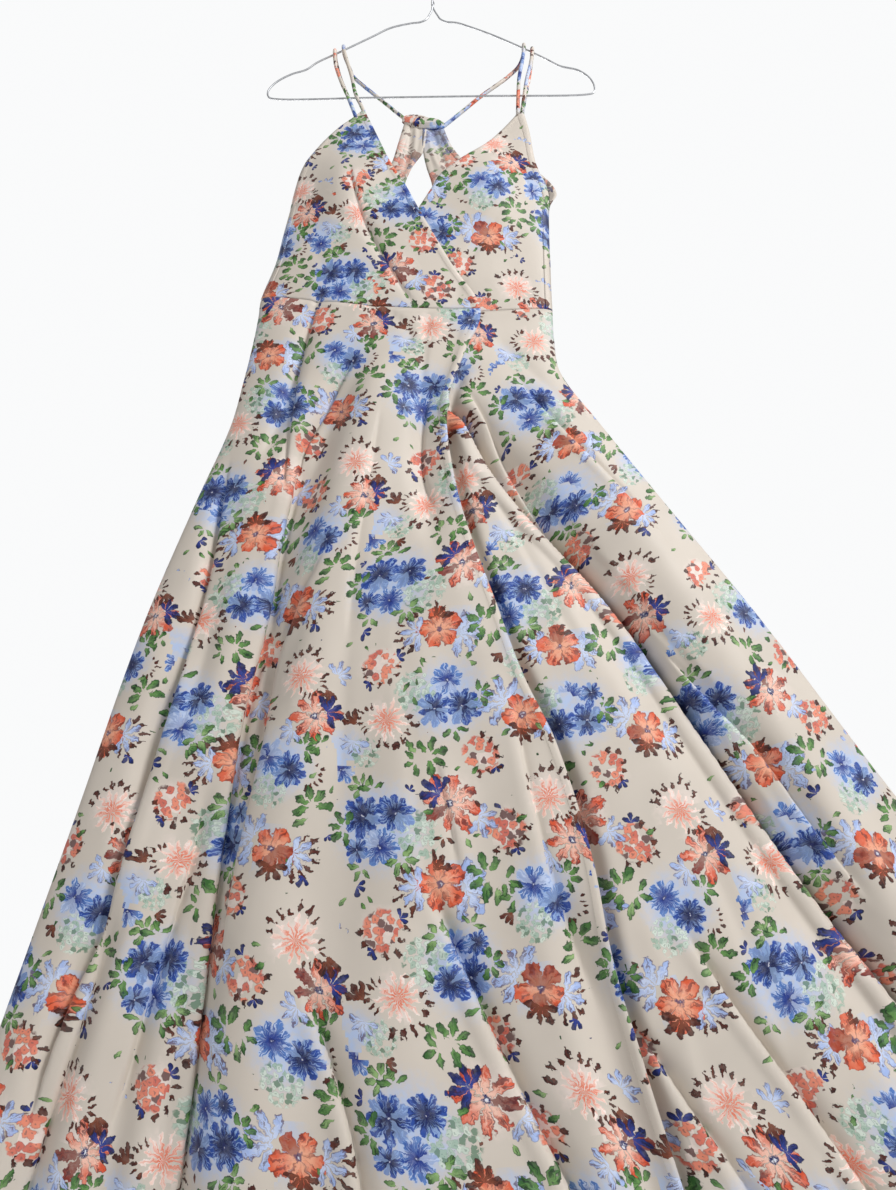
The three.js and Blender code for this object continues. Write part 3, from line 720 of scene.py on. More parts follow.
def grid_normals(points, closed=False):
    if closed:
        ahead, behind = np.roll(points, -1, axis=1), np.roll(points, 1, axis=1)
    else:
        ahead = np.concatenate([points[:, 1:], points[:, -1:]], axis=1)
        behind = np.concatenate([points[:, :1], points[:, :-1]], axis=1)
    lower = np.concatenate([points[1:], points[-1:]])
    upper = np.concatenate([points[:1], points[:-1]])
    normal = np.cross(ahead - behind, lower - upper)
    return normal / np.maximum(np.linalg.norm(normal, axis=-1, keepdims=True), 1e-9)


def shell(name, points, uv, materials, closed=False, turned=0.0):
    """A thin shell of cloth about a grid of points, its face side first in materials, with flat-cloth
    coordinates on its corners. A closed grid joins its last column to its first, as a tube. turned adds
    thickness where a hem is folded."""
    rows, columns = points.shape[:2]
    normal = grid_normals(points, closed)
    half = (STRAP_WALL if closed else CLOTH) / 2 + np.asarray(turned)[..., None]
    layers = np.stack([points + normal * half, points - normal * half])
    index = np.arange(2 * rows * columns).reshape(2, rows, columns)
    spans = columns if closed else columns - 1
    j, i = (a.ravel() for a in np.meshgrid(np.arange(rows - 1), np.arange(spans), indexing="ij"))
    n = (i + 1) % columns
    quads = [(j, i), (j, n), (j + 1, n), (j + 1, i)]
    face = np.stack([index[0][q] for q in quads], 1)
    wrong = np.stack([index[1][q] for q in reversed(quads)], 1)
    # uv has one more column than a closed grid, so that its seam has both values.
    flat_quads = [(j, i), (j, i + 1), (j + 1, i + 1), (j + 1, i)]
    face_uv = np.stack([uv[q] for q in flat_quads], 1)
    faces, corners = [face, wrong], [face_uv, face_uv[:, ::-1]]
    kinds = [np.zeros(len(face), int), np.ones(len(wrong), int)]

    def rim(a, b, uv_a):
        quad = np.stack([index[1][a], index[1][b], index[0][b], index[0][a]], 1)
        faces.append(quad)
        corners.append(np.stack([uv[uv_a]] * 4, 1))
        kinds.append(np.zeros(len(quad), int))

    k, m = np.arange(spans), (np.arange(spans) + 1) % columns
    top, foot = np.zeros(spans, int), np.full(spans, rows - 1)
    rim((top, k), (top, m), (top, k))
    rim((foot, m), (foot, k), (foot, k))
    if not closed:
        k, first, last = np.arange(rows - 1), np.zeros(rows - 1, int), np.full(rows - 1, columns - 1)
        rim((k + 1, first), (k, first), (k, first))
        rim((k, last), (k + 1, last), (k, last))
    obj = smooth_mesh(name, layers.reshape(-1, 3), np.concatenate(faces).tolist(), materials)
    obj.data.polygons.foreach_set("material_index", np.concatenate(kinds).astype(np.int32))
    flat = obj.data.uv_layers.new(name="flat")
    flat.data.foreach_set("uv", (np.concatenate(corners) * MM).astype(np.float32).ravel())
    return obj


def cloth_piece(node, points, uv, materials, closed=False, turned=0.0):
    """The printed cloth that takes the place of one of the solids."""
    obj = shell(node + "_cloth", points, uv, materials, closed, turned)
    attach(obj, BODY)
    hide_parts(node)
    paint_cloth(obj)
    return obj


# The print: flowers, leaves and berries in a half-drop repeat, charted.
REPEAT_WIDTH = 216
REPEAT_HEIGHT = 216
HALF_DROP = REPEAT_HEIGHT / 2

# Colours of the cloth and of each motif from its middle to its tips, with a third for streaks and edges.
GROUND = (209, 199, 187)
WASHES = {"ice": (176, 198, 236), "rose": (240, 222, 214)}
PAINTS = {
    "blue": ((8, 16, 66), (40, 76, 162), (152, 180, 224)),
    "sky": ((24, 50, 136), (84, 126, 194), (200, 214, 240)),
    "pale": ((204, 216, 242), (160, 182, 230), (92, 66, 84)),
    "coral": ((246, 200, 180), (216, 84, 50), (86, 32, 38)),
    "orange": ((240, 172, 140), (221, 92, 56), (118, 40, 30)),
    "blush": ((228, 122, 92), (246, 214, 200), (250, 240, 234)),
    "brown": ((126, 66, 44), (80, 31, 22), (34, 14, 14)),
    "green": ((110, 156, 84), (54, 102, 46), (14, 38, 22)),
    "moss": ((150, 184, 118), (84, 126, 66), (26, 54, 30)),
    "mint": ((210, 222, 210), (158, 186, 168), (94, 130, 106)),
    "navy": ((38, 60, 146), (15, 27, 88), (8, 11, 42)),
    "berry": ((236, 128, 94), (208, 80, 56), (84, 32, 36)),
}

# Forms drawn round a centre: how many petals, how wide, where they start, how pointed, how many each
# side of the first are drawn, how soft their edges are, and how strong the eye is.
FORMS = named_rows(
    "petals width gap point reach soft eye",
    anemone=(9, 1.3, 0, 0.42, 99, 0.3, 0.7),
    star=(8, 0.95, 0, 0.5, 99, 0.12, 1),
    open=(5, 1.08, 0, 0.36, 99, 0.1, 0.8),
    daisy=(13, 0.85, 0, 0.6, 99, 0.25, 0),
    half=(8, 0.95, 0, 0.6, 2, 0.14, 0),
    tulip=(11, 1.1, 0, 0.45, 1, 0.1, 0),
    bud=(6, 0.95, 0, 0.5, 1, 0.12, 0),
    spray=(7, 0.86, 0.14, 0.7, 2, 0.1, 0),
    pair=(5, 0.66, 0.08, 0.75, 1, 0.1, 0),
    leaf=(5, 0.7, 0.02, 0.75, 0, 0.1, 0),
    fan=(15, 0.62, 0.5, 0.75, 3, 0.1, 0),
    arc=(16, 0.62, 0.62, 0.75, 3, 0.12, 0),
    ring=(12, 0.5, 0.66, 0.7, 3, 0.12, 0),
)
# Forms made of many small rounds: how many lie across, and how large each is.
CLUSTERS = named_rows("cells size", florets=(4, 0.56), berries=(2.7, 0.6))

# Each motif's parts: form, paint, place from the motif's middle, radius and turn.
MOTIFS = {
    "bouquet": [
        ("wash", "ice", 0, 2, 43, 0), ("florets", "mint", 25, 9, 18, 0),
        ("anemone", "blue", -12, -6, 17, 20), ("anemone", "blue", 11, -7, 15, 70),
        ("anemone", "sky", 0, 16, 14, 0), ("anemone", "blue", -17, 17, 10, 40),
        ("spray", "green", -25, 2, 14, 190), ("spray", "moss", 14, 24, 14, 60),
        ("pair", "green", -4, -24, 12, 260), ("pair", "moss", -14, 29, 11, 120),
        ("bud", "navy", 27, -14, 7, -30), ("bud", "navy", 22, -22, 5, -60),
        ("bud", "navy", -26, -16, 6, 200),
        ("leaf", "brown", 38, 0, 6, 10), ("leaf", "brown", 16, -28, 6, -70),
        ("leaf", "green", 29, -6, 11, -15), ("spray", "moss", -12, -26, 12, 230),
        ("pair", "green", 6, 31, 11, 80), ("leaf", "moss", -34, 12, 10, 160),
    ],
    "posy": [
        ("wash", "ice", 0, 0, 34, 0), ("florets", "mint", -4, 20, 14, 0),
        ("anemone", "sky", -9, -4, 14, 10), ("anemone", "blue", 9, 4, 14, 50),
        ("anemone", "sky", 4, -14, 9, 0),
        ("spray", "green", 17, -14, 13, -40), ("pair", "green", -20, 6, 12, 170),
        ("pair", "moss", 17, 18, 11, 40), ("arc", "brown", 22, 4, 13, 20),
        ("tulip", "brown", -20, 16, 10, 120), ("leaf", "green", -18, -16, 11, 215),
        ("leaf", "moss", -5, -24, 10, 260),
    ],
    "star": [
        ("wash", "rose", 0, 0, 26, 0), ("star", "coral", 0, 0, 21, 12), ("half", "navy", -7, -6, 14, 215),
        ("half", "pale", 17, 9, 13, 30), ("pair", "brown", -6, 21, 8, 100),
        ("leaf", "green", 14, -17, 9, -50), ("leaf", "brown", -19, 10, 7, 150),
        ("leaf", "moss", 8, 21, 9, 70),
    ],
    "open flower": [
        ("wash", "ice", 14, 2, 26, 0), ("half", "pale", 15, 3, 19, 8), ("half", "pale", -14, 2, 14, 180),
        ("open", "orange", 0, 0, 17, 40), ("half", "brown", -3, -9, 12, 262),
        ("fan", "brown", -14, 2, 19, 180), ("leaf", "brown", 29, -8, 7, -25),
        ("leaf", "brown", 27, 10, 6, 20),
    ],
    "daisy": [
        ("wash", "rose", 0, 0, 24, 0), ("daisy", "blush", 0, 0, 17, 0), ("arc", "brown", 0, -3, 23, 258),
        ("fan", "brown", 8, 6, 14, 40), ("tulip", "brown", 20, 10, 13, 80), ("half", "pale", 27, 0, 12, -40),
        ("leaf", "green", -19, 12, 10, 150), ("leaf", "moss", -22, 2, 9, 190),
    ],
    "berries": [
        ("wash", "rose", 0, 0, 20, 0), ("berries", "berry", 0, 0, 14, 0), ("ring", "brown", 0, 0, 19, 8),
        ("bud", "navy", -5, -12, 7, 250), ("bud", "navy", 10, 9, 6, 60), ("leaf", "green", -14, 8, 7, 150),
        ("leaf", "green", 15, -12, 9, -40), ("leaf", "brown", -18, -8, 7, 205),
    ],
    "sprig": [
        ("spray", "green", -4, 0, 16, 200), ("pair", "green", 6, 3, 12, 20), ("leaf", "moss", 2, 6, 13, 95),
        ("bud", "navy", 19, 1, 5, 0), ("leaf", "brown", -14, 12, 6, 130),
    ],
    "small buds": [
        ("bud", "navy", 0, 0, 7, 30), ("bud", "navy", 8, -5, 5, 300), ("leaf", "moss", -6, 6, 8, 140),
        ("leaf", "green", 6, 6, 7, 50),
    ],
    "pink bud": [
        ("wash", "rose", 0, 0, 14, 0), ("bud", "orange", 0, -2, 8, 260), ("bud", "coral", -6, 3, 7, 180),
        ("leaf", "green", 5, 5, 10, 60), ("leaf", "brown", 8, -6, 6, -20),
    ],
}

# One repeat: where each motif lies, how it is turned and its size.
REPEAT = [
    ("bouquet", 44, 36, 0, 1.18), ("star", 104, 20, 0, 1.32), ("berries", 148, 42, 20, 1.25),
    ("daisy", 190, 16, 0, 1.20), ("sprig", 136, 78, 0, 1.30), ("open flower", 92, 84, 0, 1.30),
    ("posy", 176, 92, 10, 1.18), ("small buds", 24, 84, 0, 1.30), ("berries", 44, 118, 80, 1.25),
    ("star", 206, 52, 120, 1.14), ("bouquet", 104, 148, 175, 1.09), ("daisy", 52, 166, 150, 1.20),
    ("open flower", 170, 162, 200, 1.30), ("sprig", 206, 132, 60, 1.17), ("berries", 132, 196, 0, 1.19),
    ("posy", 14, 196, 250, 1.00), ("sprig", 84, 200, 140, 1.17), ("pink bud", 66, 138, 0, 1.35),
    ("small buds", 132, 112, 200, 1.30), ("pink bud", 78, 50, 90, 1.22), ("small buds", 196, 184, 90, 1.30),
    ("pink bud", 6, 146, 180, 1.35),
]
# How many blooms can lie over each other on a face, and the place, in radii, of a corner with none on it
BLOOM_LAYERS = 6
OUT_OF_REACH = 4.0


def linear(colour):
    """A colour of 0 to 255 a channel as the renderer's linear values."""
    c = np.array(colour, float) / 255
    return np.where(c <= 0.04045, c / 12.92, ((c + 0.055) / 1.055) ** 2.4)


def motif_parts():
    """Every part of one repeat, largest first, so that small parts lie above large ones."""
    parts = []
    for motif, x, y, turn, size in REPEAT:
        cos, sin = math.cos(math.radians(turn)), math.sin(math.radians(turn))
        for form, paint, dx, dy, radius, angle in MOTIFS[motif]:
            place = (x + size * (dx * cos - dy * sin), y + size * (dx * sin + dy * cos))
            parts.append((form, paint, *place, radius * size, angle + turn))
    return sorted(parts, key=lambda part: -part[4])


def print_over(low, high):
    """The parts of the print that may lie on flat cloth between two corners, each with its middle."""
    columns = range(int(low[0] // REPEAT_WIDTH) - 1, int(high[0] // REPEAT_WIDTH) + 2)
    number = 0
    for form, paint, x, y, radius, angle in motif_parts():
        for column in columns:
            drop = (column % 2) * HALF_DROP + y
            first = int((low[1] - drop) // REPEAT_HEIGHT) - 1
            last = int((high[1] - drop) // REPEAT_HEIGHT) + 2
            for row in range(first, last):
                number += 1
                middle = (x + column * REPEAT_WIDTH, drop + row * REPEAT_HEIGHT)
                yield number, form, paint, middle, radius, math.radians(angle)


def part_values(form, paint, number):
    """What the shaders read of one part of the print."""
    seed = number * 0.618 % 1
    if form == "wash":
        return {"inner": (*linear(WASHES[paint]), 1)}
    values = {k: (*linear(colour), 1) for k, colour in zip(("inner", "outer", "edge"), PAINTS[paint])}
    if form in CLUSTERS:
        return {"shape": (CLUSTERS[form]["cells"], CLUSTERS[form]["size"], seed, 0), **values}
    f = FORMS[form]
    shape = (f["petals"], f["width"], f["gap"], f["point"])
    return {"shape": shape, "more": (f["reach"], f["soft"], seed, f["eye"]), **values}


def paint_cloth(obj):
    """Gives each face of a cloth piece the parts of the print that lie on it."""
    mesh = obj.data
    count = len(mesh.polygons)
    uv = np.zeros(count * 8, np.float32)
    mesh.uv_layers["flat"].data.foreach_get("uv", uv)
    corners = uv.reshape(count, 4, 2).astype(float) / MM
    centres = corners.mean(1)
    margin = float(np.linalg.norm(corners - centres[:, None], axis=2).max()) + 0.3
    order = np.argsort(centres[:, 1])
    heights = centres[order, 1]
    blooms = [f"bloom{k}" for k in range(BLOOM_LAYERS)]
    kept = {"wash": ("inner",), "cluster": ("shape", "inner", "outer", "edge")}
    kept.update((n, ("shape", "more", "inner", "outer", "edge")) for n in blooms)
    place = {n: np.full((count, 4, 2), OUT_OF_REACH, np.float32) for n in kept}
    taken = {n: np.zeros(count, bool) for n in kept}
    values = {n: {k: np.zeros((count, 4), np.float32) for k in names} for n, names in kept.items()}
    for number, form, paint, (cx, cy), radius, angle in print_over(centres.min(0), centres.max(0)):
        reach = radius + margin
        a, b = np.searchsorted(heights, (cy - reach, cy + reach))
        near = order[a:b]
        near = near[np.hypot(centres[near, 0] - cx, centres[near, 1] - cy) < reach]
        if not len(near):
            continue
        allowed = ["wash"] if form == "wash" else ["cluster"] if form in CLUSTERS else blooms
        layer = next((n for n in allowed if not taken[n][near].any()), allowed[-1])
        near = near[~taken[layer][near]]
        taken[layer][near] = True
        off = (corners[near] - (cx, cy)) / radius
        cos, sin = math.cos(angle), math.sin(angle)
        place[layer][near] = np.stack(
            [off[..., 0] * cos + off[..., 1] * sin, off[..., 1] * cos - off[..., 0] * sin], -1
        )
        for k, value in part_values(form, paint, number).items():
            values[layer][k][near] = value
    for n, names in kept.items():
        attribute = mesh.attributes.new(n + "_place", "FLOAT2", "CORNER")
        attribute.data.foreach_set("vector", place[n].ravel())
        for k in names:
            attribute = mesh.attributes.new(f"{n}_{k}", "FLOAT_COLOR", "FACE")
            attribute.data.foreach_set("color", values[n][k].ravel())


class Graph:
    """Shorthand for building a shader node tree."""

    def __init__(self, tree):
        self.tree = tree

    def node(self, kind, **settings):
        made = self.tree.nodes.new(kind)
        for key, value in settings.items():
            setattr(made, key, value)
        return made

    def put(self, value, socket):
        if isinstance(value, bpy.types.NodeSocket):
            self.tree.links.new(value, socket)
        else:
            socket.default_value = value

    def math(self, operation, *values, clamp=False):
        made = self.node("ShaderNodeMath", operation=operation, use_clamp=clamp)
        for value, socket in zip(values, made.inputs):
            self.put(value, socket)
        return made.outputs[0]

    def vector(self, operation, *values, output=0):
        made = self.node("ShaderNodeVectorMath", operation=operation)
        for value, socket in zip(values, made.inputs):
            self.put(value, socket)
        return made.outputs[output]

    def scale(self, vector, factor):
        made = self.node("ShaderNodeVectorMath", operation="SCALE")
        self.put(vector, made.inputs[0])
        self.put(factor, made.inputs["Scale"])
        return made.outputs[0]

    def split(self, vector):
        made = self.node("ShaderNodeSeparateXYZ")
        self.put(vector, made.inputs[0])
        return made.outputs

    def join(self, x, y, z=0.0):
        made = self.node("ShaderNodeCombineXYZ")
        for value, socket in zip((x, y, z), made.inputs):
            self.put(value, socket)
        return made.outputs[0]

    def mix(self, factor, a, b):
        made = self.node("ShaderNodeMix", data_type="RGBA")
        self.put(factor, made.inputs[0])
        self.put(a, made.inputs[6])
        self.put(b, made.inputs[7])
        return made.outputs[2]

    def step(self, value, low, high, start=0.0, end=1.0):
        made = self.node("ShaderNodeMapRange", interpolation_type="SMOOTHSTEP")
        for v, socket in zip((value, low, high, start, end), made.inputs):
            self.put(v, socket)
        return made.outputs[0]

    def noise(self, vector, scale, detail=1.0, output=0, dimensions="2D"):
        made = self.node("ShaderNodeTexNoise", noise_dimensions=dimensions)
        self.put(vector, made.inputs["Vector"])
        self.put(scale, made.inputs["Scale"])
        self.put(detail, made.inputs["Detail"])
        return made.outputs[output]

    def bump(self, height, strength, distance):
        made = self.node("ShaderNodeBump")
        self.put(strength, made.inputs["Strength"])
        self.put(distance, made.inputs["Distance"])
        self.put(height, made.inputs["Height"])
        return made.outputs[0]

    def attribute(self, name):
        return self.node("ShaderNodeAttribute", attribute_type="GEOMETRY", attribute_name=name).outputs


def group(name, inputs, outputs):
    tree = bpy.data.node_groups.new(name, "ShaderNodeTree")
    for socket, kind in inputs.items():
        tree.interface.new_socket(socket, in_out="INPUT", socket_type=kind)
    for socket, kind in outputs.items():
        tree.interface.new_socket(socket, in_out="OUTPUT", socket_type=kind)
    graph = Graph(tree)
    return graph, graph.node("NodeGroupInput").outputs, graph.node("NodeGroupOutput").inputs


# The eye of a flower: where each ring starts and is full, as shares of the radius, and its colour.
EYE = [(0.17, 0.09, (26, 36, 96)), (0.06, 0.03, (225, 228, 240))]

COLOUR, VECTOR, NUMBER = "NodeSocketColor", "NodeSocketVector", "NodeSocketFloat"
PAINT_SOCKETS = {"inner": COLOUR, "outer": COLOUR, "edge": COLOUR}


def bloom_group():
    """A form of petals or leaves round a centre."""
    g, given, made = group(
        "bloom",
        {"place": VECTOR, "shape": VECTOR, "point": NUMBER, "more": VECTOR, "eye": NUMBER, **PAINT_SOCKETS},
        {"mask": NUMBER, "colour": COLOUR},
    )
    x, y = g.split(given["place"])[:2]
    petals, width, gap = g.split(given["shape"])
    reach, soft, seed = g.split(given["more"])
    radius = g.vector("LENGTH", given["place"], output=1)
    turn = g.math("DIVIDE", g.math("ARCTAN2", y, x), 2 * math.pi)
    scaled = g.math("MULTIPLY", turn, petals)
    index = g.math("ROUND", scaled)
    off = g.math("MULTIPLY", g.math("ABSOLUTE", g.math("SUBTRACT", scaled, index)), 2)
    drawn = g.math("LESS_THAN", g.math("ABSOLUTE", index), g.math("ADD", reach, 0.5))
    chance = g.node("ShaderNodeTexWhiteNoise", noise_dimensions="2D")
    g.put(g.join(index, g.math("MULTIPLY", seed, 97.0)), chance.inputs["Vector"])
    length = g.math("MULTIPLY_ADD", chance.outputs["Value"], 0.24, 0.78)
    reached = g.math("DIVIDE", radius, length)
    along = g.math("DIVIDE", g.math("SUBTRACT", reached, gap), g.math("SUBTRACT", 1.0, gap), clamp=True)
    closing = g.math("SUBTRACT", 1.0, g.math("POWER", along, 3.0))
    limit = g.math("MULTIPLY", width, g.math("POWER", closing, given["point"]))
    rise = g.math("MAXIMUM", g.step(along, 0.0, 0.3), g.math("LESS_THAN", gap, 0.01))
    inside = g.math("SUBTRACT", g.math("MULTIPLY", limit, rise), off)
    mask = g.math("MULTIPLY", g.step(inside, 0.0, soft), drawn)
    along_stroke = g.math("MULTIPLY_ADD", seed, 31.0, g.math("MULTIPLY", radius, 0.3))
    streak = g.step(g.noise(g.join(scaled, along_stroke), 4.5, 2.0), 0.46, 0.6)
    colour = g.mix(g.step(radius, 0.1, 0.75), given["inner"], given["outer"])
    strokes = g.math("MULTIPLY", streak, g.step(radius, 1.0, 0.3, 0.1, 0.85))
    colour = g.mix(strokes, colour, given["inner"])
    thin = g.step(g.noise(g.join(scaled, g.math("ADD", along_stroke, 40.0)), 6.5, 2.0), 0.52, 0.62)
    colour = g.mix(g.math("MULTIPLY", thin, g.step(radius, 0.15, 0.7, 0.1, 0.8)), colour, given["edge"])
    rim = g.step(inside, 0.0, 0.32, 0.85, 0.0)
    odd = g.math("GREATER_THAN", g.split(chance.outputs["Color"])[1], 0.82)
    dark = g.math("MULTIPLY", odd, g.math("MULTIPLY", given["eye"], 0.75))
    colour = g.mix(g.math("MAXIMUM", rim, dark), colour, given["edge"])
    for ring, middle, tint in EYE:
        eye = g.math("MULTIPLY", g.step(radius, ring, middle), given["eye"])
        colour = g.mix(eye, colour, (*linear(tint), 1))
    g.put(mask, made["mask"])
    g.put(colour, made["colour"])
    return g.tree


def cluster_group():
    """Many small rounds close together, as berries or florets."""
    g, given, made = group(
        "cluster", {"place": VECTOR, "shape": VECTOR, **PAINT_SOCKETS}, {"mask": NUMBER, "colour": COLOUR}
    )
    cells, size, seed = g.split(given["shape"])
    radius = g.vector("LENGTH", given["place"], output=1)
    voronoi = g.node("ShaderNodeTexVoronoi", voronoi_dimensions="2D", feature="F1")
    moved = g.vector("ADD", given["place"], g.scale((17.0, 5.0, 0.0), seed))
    g.put(moved, voronoi.inputs["Vector"])
    g.put(cells, voronoi.inputs["Scale"])
    g.put(0.75, voronoi.inputs["Randomness"])
    kept, shade, odd = g.split(voronoi.outputs["Color"])
    distance = voronoi.outputs["Distance"]
    filled = g.step(g.math("SUBTRACT", size, distance), 0.0, 0.12)
    present = g.math("GREATER_THAN", kept, 0.12)
    disc = g.step(radius, 1.0, 0.86)
    mask = g.math("MULTIPLY", g.math("MULTIPLY", filled, present), disc)
    colour = g.mix(g.step(shade, 0.2, 0.8), given["inner"], given["outer"])
    outline = g.step(g.math("SUBTRACT", size, distance), 0.0, 0.22, 0.75, 0.0)
    middle = g.step(distance, 0.16, 0.08, 0.0, 0.6)
    colour = g.mix(g.math("MAXIMUM", outline, middle), colour, given["edge"])
    colour = g.mix(g.math("GREATER_THAN", odd, 0.84), colour, given["edge"])
    g.put(mask, made["mask"])
    g.put(colour, made["colour"])
    return g.tree


def print_colour(g, groups, flat):
    """The colour of the printed cloth and of its bare ground. The washes lie lowest and the blooms on top."""
    wander = g.scale(g.vector("SUBTRACT", g.noise(flat, 0.22, 2.0, output=1), (0.5, 0.5, 0.5)), 0.3)
    pigment = g.step(g.noise(flat, 0.16, 3.0), 0.3, 0.62, 0.55, 1.0)
    tone = g.step(g.noise(flat, 0.012, 1.0), 0.3, 0.7)
    ground = g.mix(tone, (*linear(GROUND) * 0.97, 1), (*linear(GROUND) * 1.03, 1))

    def placed(layer):
        return g.vector("ADD", g.attribute(layer + "_place")["Vector"], wander)

    wash = g.attribute("wash_inner")
    spread = g.vector("LENGTH", placed("wash"), output=1)
    colour = g.mix(g.math("MULTIPLY", g.step(spread, 0.95, 0.2, 0.0, 0.85), pigment), ground, wash["Color"])

    cluster = g.node("ShaderNodeGroup", node_tree=groups["cluster"])
    g.put(placed("cluster"), cluster.inputs["place"])
    g.put(g.attribute("cluster_shape")["Vector"], cluster.inputs["shape"])
    for k in PAINT_SOCKETS:
        g.put(g.attribute("cluster_" + k)["Color"], cluster.inputs[k])
    colour = g.mix(g.math("MULTIPLY", cluster.outputs["mask"], 0.85), colour, cluster.outputs["colour"])

    for number in range(BLOOM_LAYERS):
        layer = f"bloom{number}"
        bloom = g.node("ShaderNodeGroup", node_tree=groups["bloom"])
        shape, more = g.attribute(layer + "_shape"), g.attribute(layer + "_more")
        g.put(placed(layer), bloom.inputs["place"])
        g.put(shape["Vector"], bloom.inputs["shape"])
        g.put(shape["Alpha"], bloom.inputs["point"])
        g.put(more["Vector"], bloom.inputs["more"])
        g.put(more["Alpha"], bloom.inputs["eye"])
        for k in PAINT_SOCKETS:
            g.put(g.attribute(f"{layer}_{k}")["Color"], bloom.inputs[k])
        strength = g.math("MULTIPLY", bloom.outputs["mask"], g.math("MULTIPLY_ADD", pigment, 0.2, 0.8))
        colour = g.mix(strength, colour, bloom.outputs["colour"])

    return colour, ground


# Soft, dull crepe
CREPE = {"Roughness": 0.58, "Specular IOR Level": 0.35, "Sheen Weight": 0.12, "Sheen Roughness": 0.4}


def print_material(name, groups, faded):
    """Printed crepe. faded is how far the print is lost in the ground, more on the wrong side."""
    material = bpy.data.materials.new(name)
    material.use_nodes = True
    g = Graph(material.node_tree)
    shader = material.node_tree.nodes["Principled BSDF"]
    flat = g.scale(g.node("ShaderNodeUVMap", uv_map="flat").outputs[0], 1 / MM)
    colour, ground = print_colour(g, groups, flat)
    g.put(g.mix(faded, colour, ground), shader.inputs["Base Color"])
    for socket, value in CREPE.items():
        g.put(value, shader.inputs[socket])
    g.put(g.bump(g.noise(flat, 1.9, 2.0), 0.25, 0.0002), shader.inputs["Normal"])
    return material


def hem_spacing(even, width, hem):
    """Fractions with an even spread, but for the last, which lie on a turned hem's fold and edge."""
    edges = np.array([hem + HEM_STEP, hem, hem / 2, 0.0])
    last = 1 - edges / width
    count = len(even) - len(edges)
    return np.concatenate([np.linspace(0, last[0], count, endpoint=False), last])


class Panel:
    """A cloth piece: its side of the dress, its surface and grid, where and at what angle it was cut from the
    flat cloth, whether its grid is mirrored so that it faces out, and which of its edges have turned hems."""

    def __init__(self, name, side, layout, point, columns, rows, cut_from, turn, flip, hems):
        self.name = name
        s, t = np.meshgrid(np.linspace(0, 1, columns + 1), np.linspace(0, 1, rows + 1))
        self.turned = np.zeros(s.shape)
        s, t = self.turn_hems(s, t, layout, hems)
        if flip:
            s, t, self.turned = s[:, ::-1], t[:, ::-1], self.turned[:, ::-1]
        x, z = layout(s, t)
        self.points = point(x, z)
        self.uv = self.cut(x, z, side, cut_from, math.radians(turn))
        normals = grid_normals(self.points)
        ends = (HEM_LINES - 1, -HEM_LINES)
        first, last = ends[::-1] if flip else ends
        self.seams = [(self.points[:, first], normals[:, first])] if "first" in hems else []
        self.seams += [(self.points[:, last], normals[:, last])] if "last" in hems else []
        self.seams += [(self.points[-HEM_LINES], normals[-HEM_LINES])] if "foot" in hems else []

    def turn_hems(self, s, t, layout, hems):
        """Moves the outer lines of the grid onto the folds and edges of the turned hems."""
        if "foot" in hems:
            length = WAIST_LEFT_Z - HEM_LEFT_Z
            t = np.repeat(hem_spacing(t[:, 0], length, HEM)[:, None], t.shape[1], axis=1)
            self.turned[-HEM_LINES:] = TURNED
        first, last = layout(s * 0, t), layout(s * 0 + 1, t)
        width = np.hypot(last[0] - first[0], last[1] - first[1])[:, 0]
        if "last" in hems:
            s = np.array([hem_spacing(row, w * LAST_STRETCH, EDGE_HEM) for row, w in zip(s, width)])
            self.turned[:, -HEM_LINES:] = TURNED
        if "first" in hems:
            s = s.copy()
            for k, w in enumerate(width):
                ends = np.array([0.0, EDGE_HEM / 2, EDGE_HEM, EDGE_HEM + HEM_STEP]) / (w * FIRST_STRETCH)
                s[k, :5] = np.append(ends, mix(ends[-1], s[k, 5], 0.5))
            self.turned[:, :HEM_LINES] = TURNED
        return s, t

    def cut(self, x, z, side, cut_from, angle):
        """Where each point lies on the flat cloth, with the cloth inside the folds laid out."""
        along, lines = side
        u = along(x, z) + fold_lines(lines, x, z)[2]
        cos, sin = math.cos(angle), math.sin(angle)
        return np.stack([cut_from[0] + u * cos + z * sin, cut_from[1] + u * sin - z * cos], -1)

    def flat(self):
        """Width, length and area of the flat cut, in metres."""
        spread = (self.uv.reshape(-1, 2).max(0) - self.uv.reshape(-1, 2).min(0)) * MM
        outline = np.concatenate([self.uv[0], self.uv[1:, -1], self.uv[-1, -2::-1], self.uv[-2:0:-1, 0]]) * MM
        x, y = outline.T
        return tuple(spread), abs(float(np.dot(x, np.roll(y, 1)) - np.dot(y, np.roll(x, 1)))) / 2


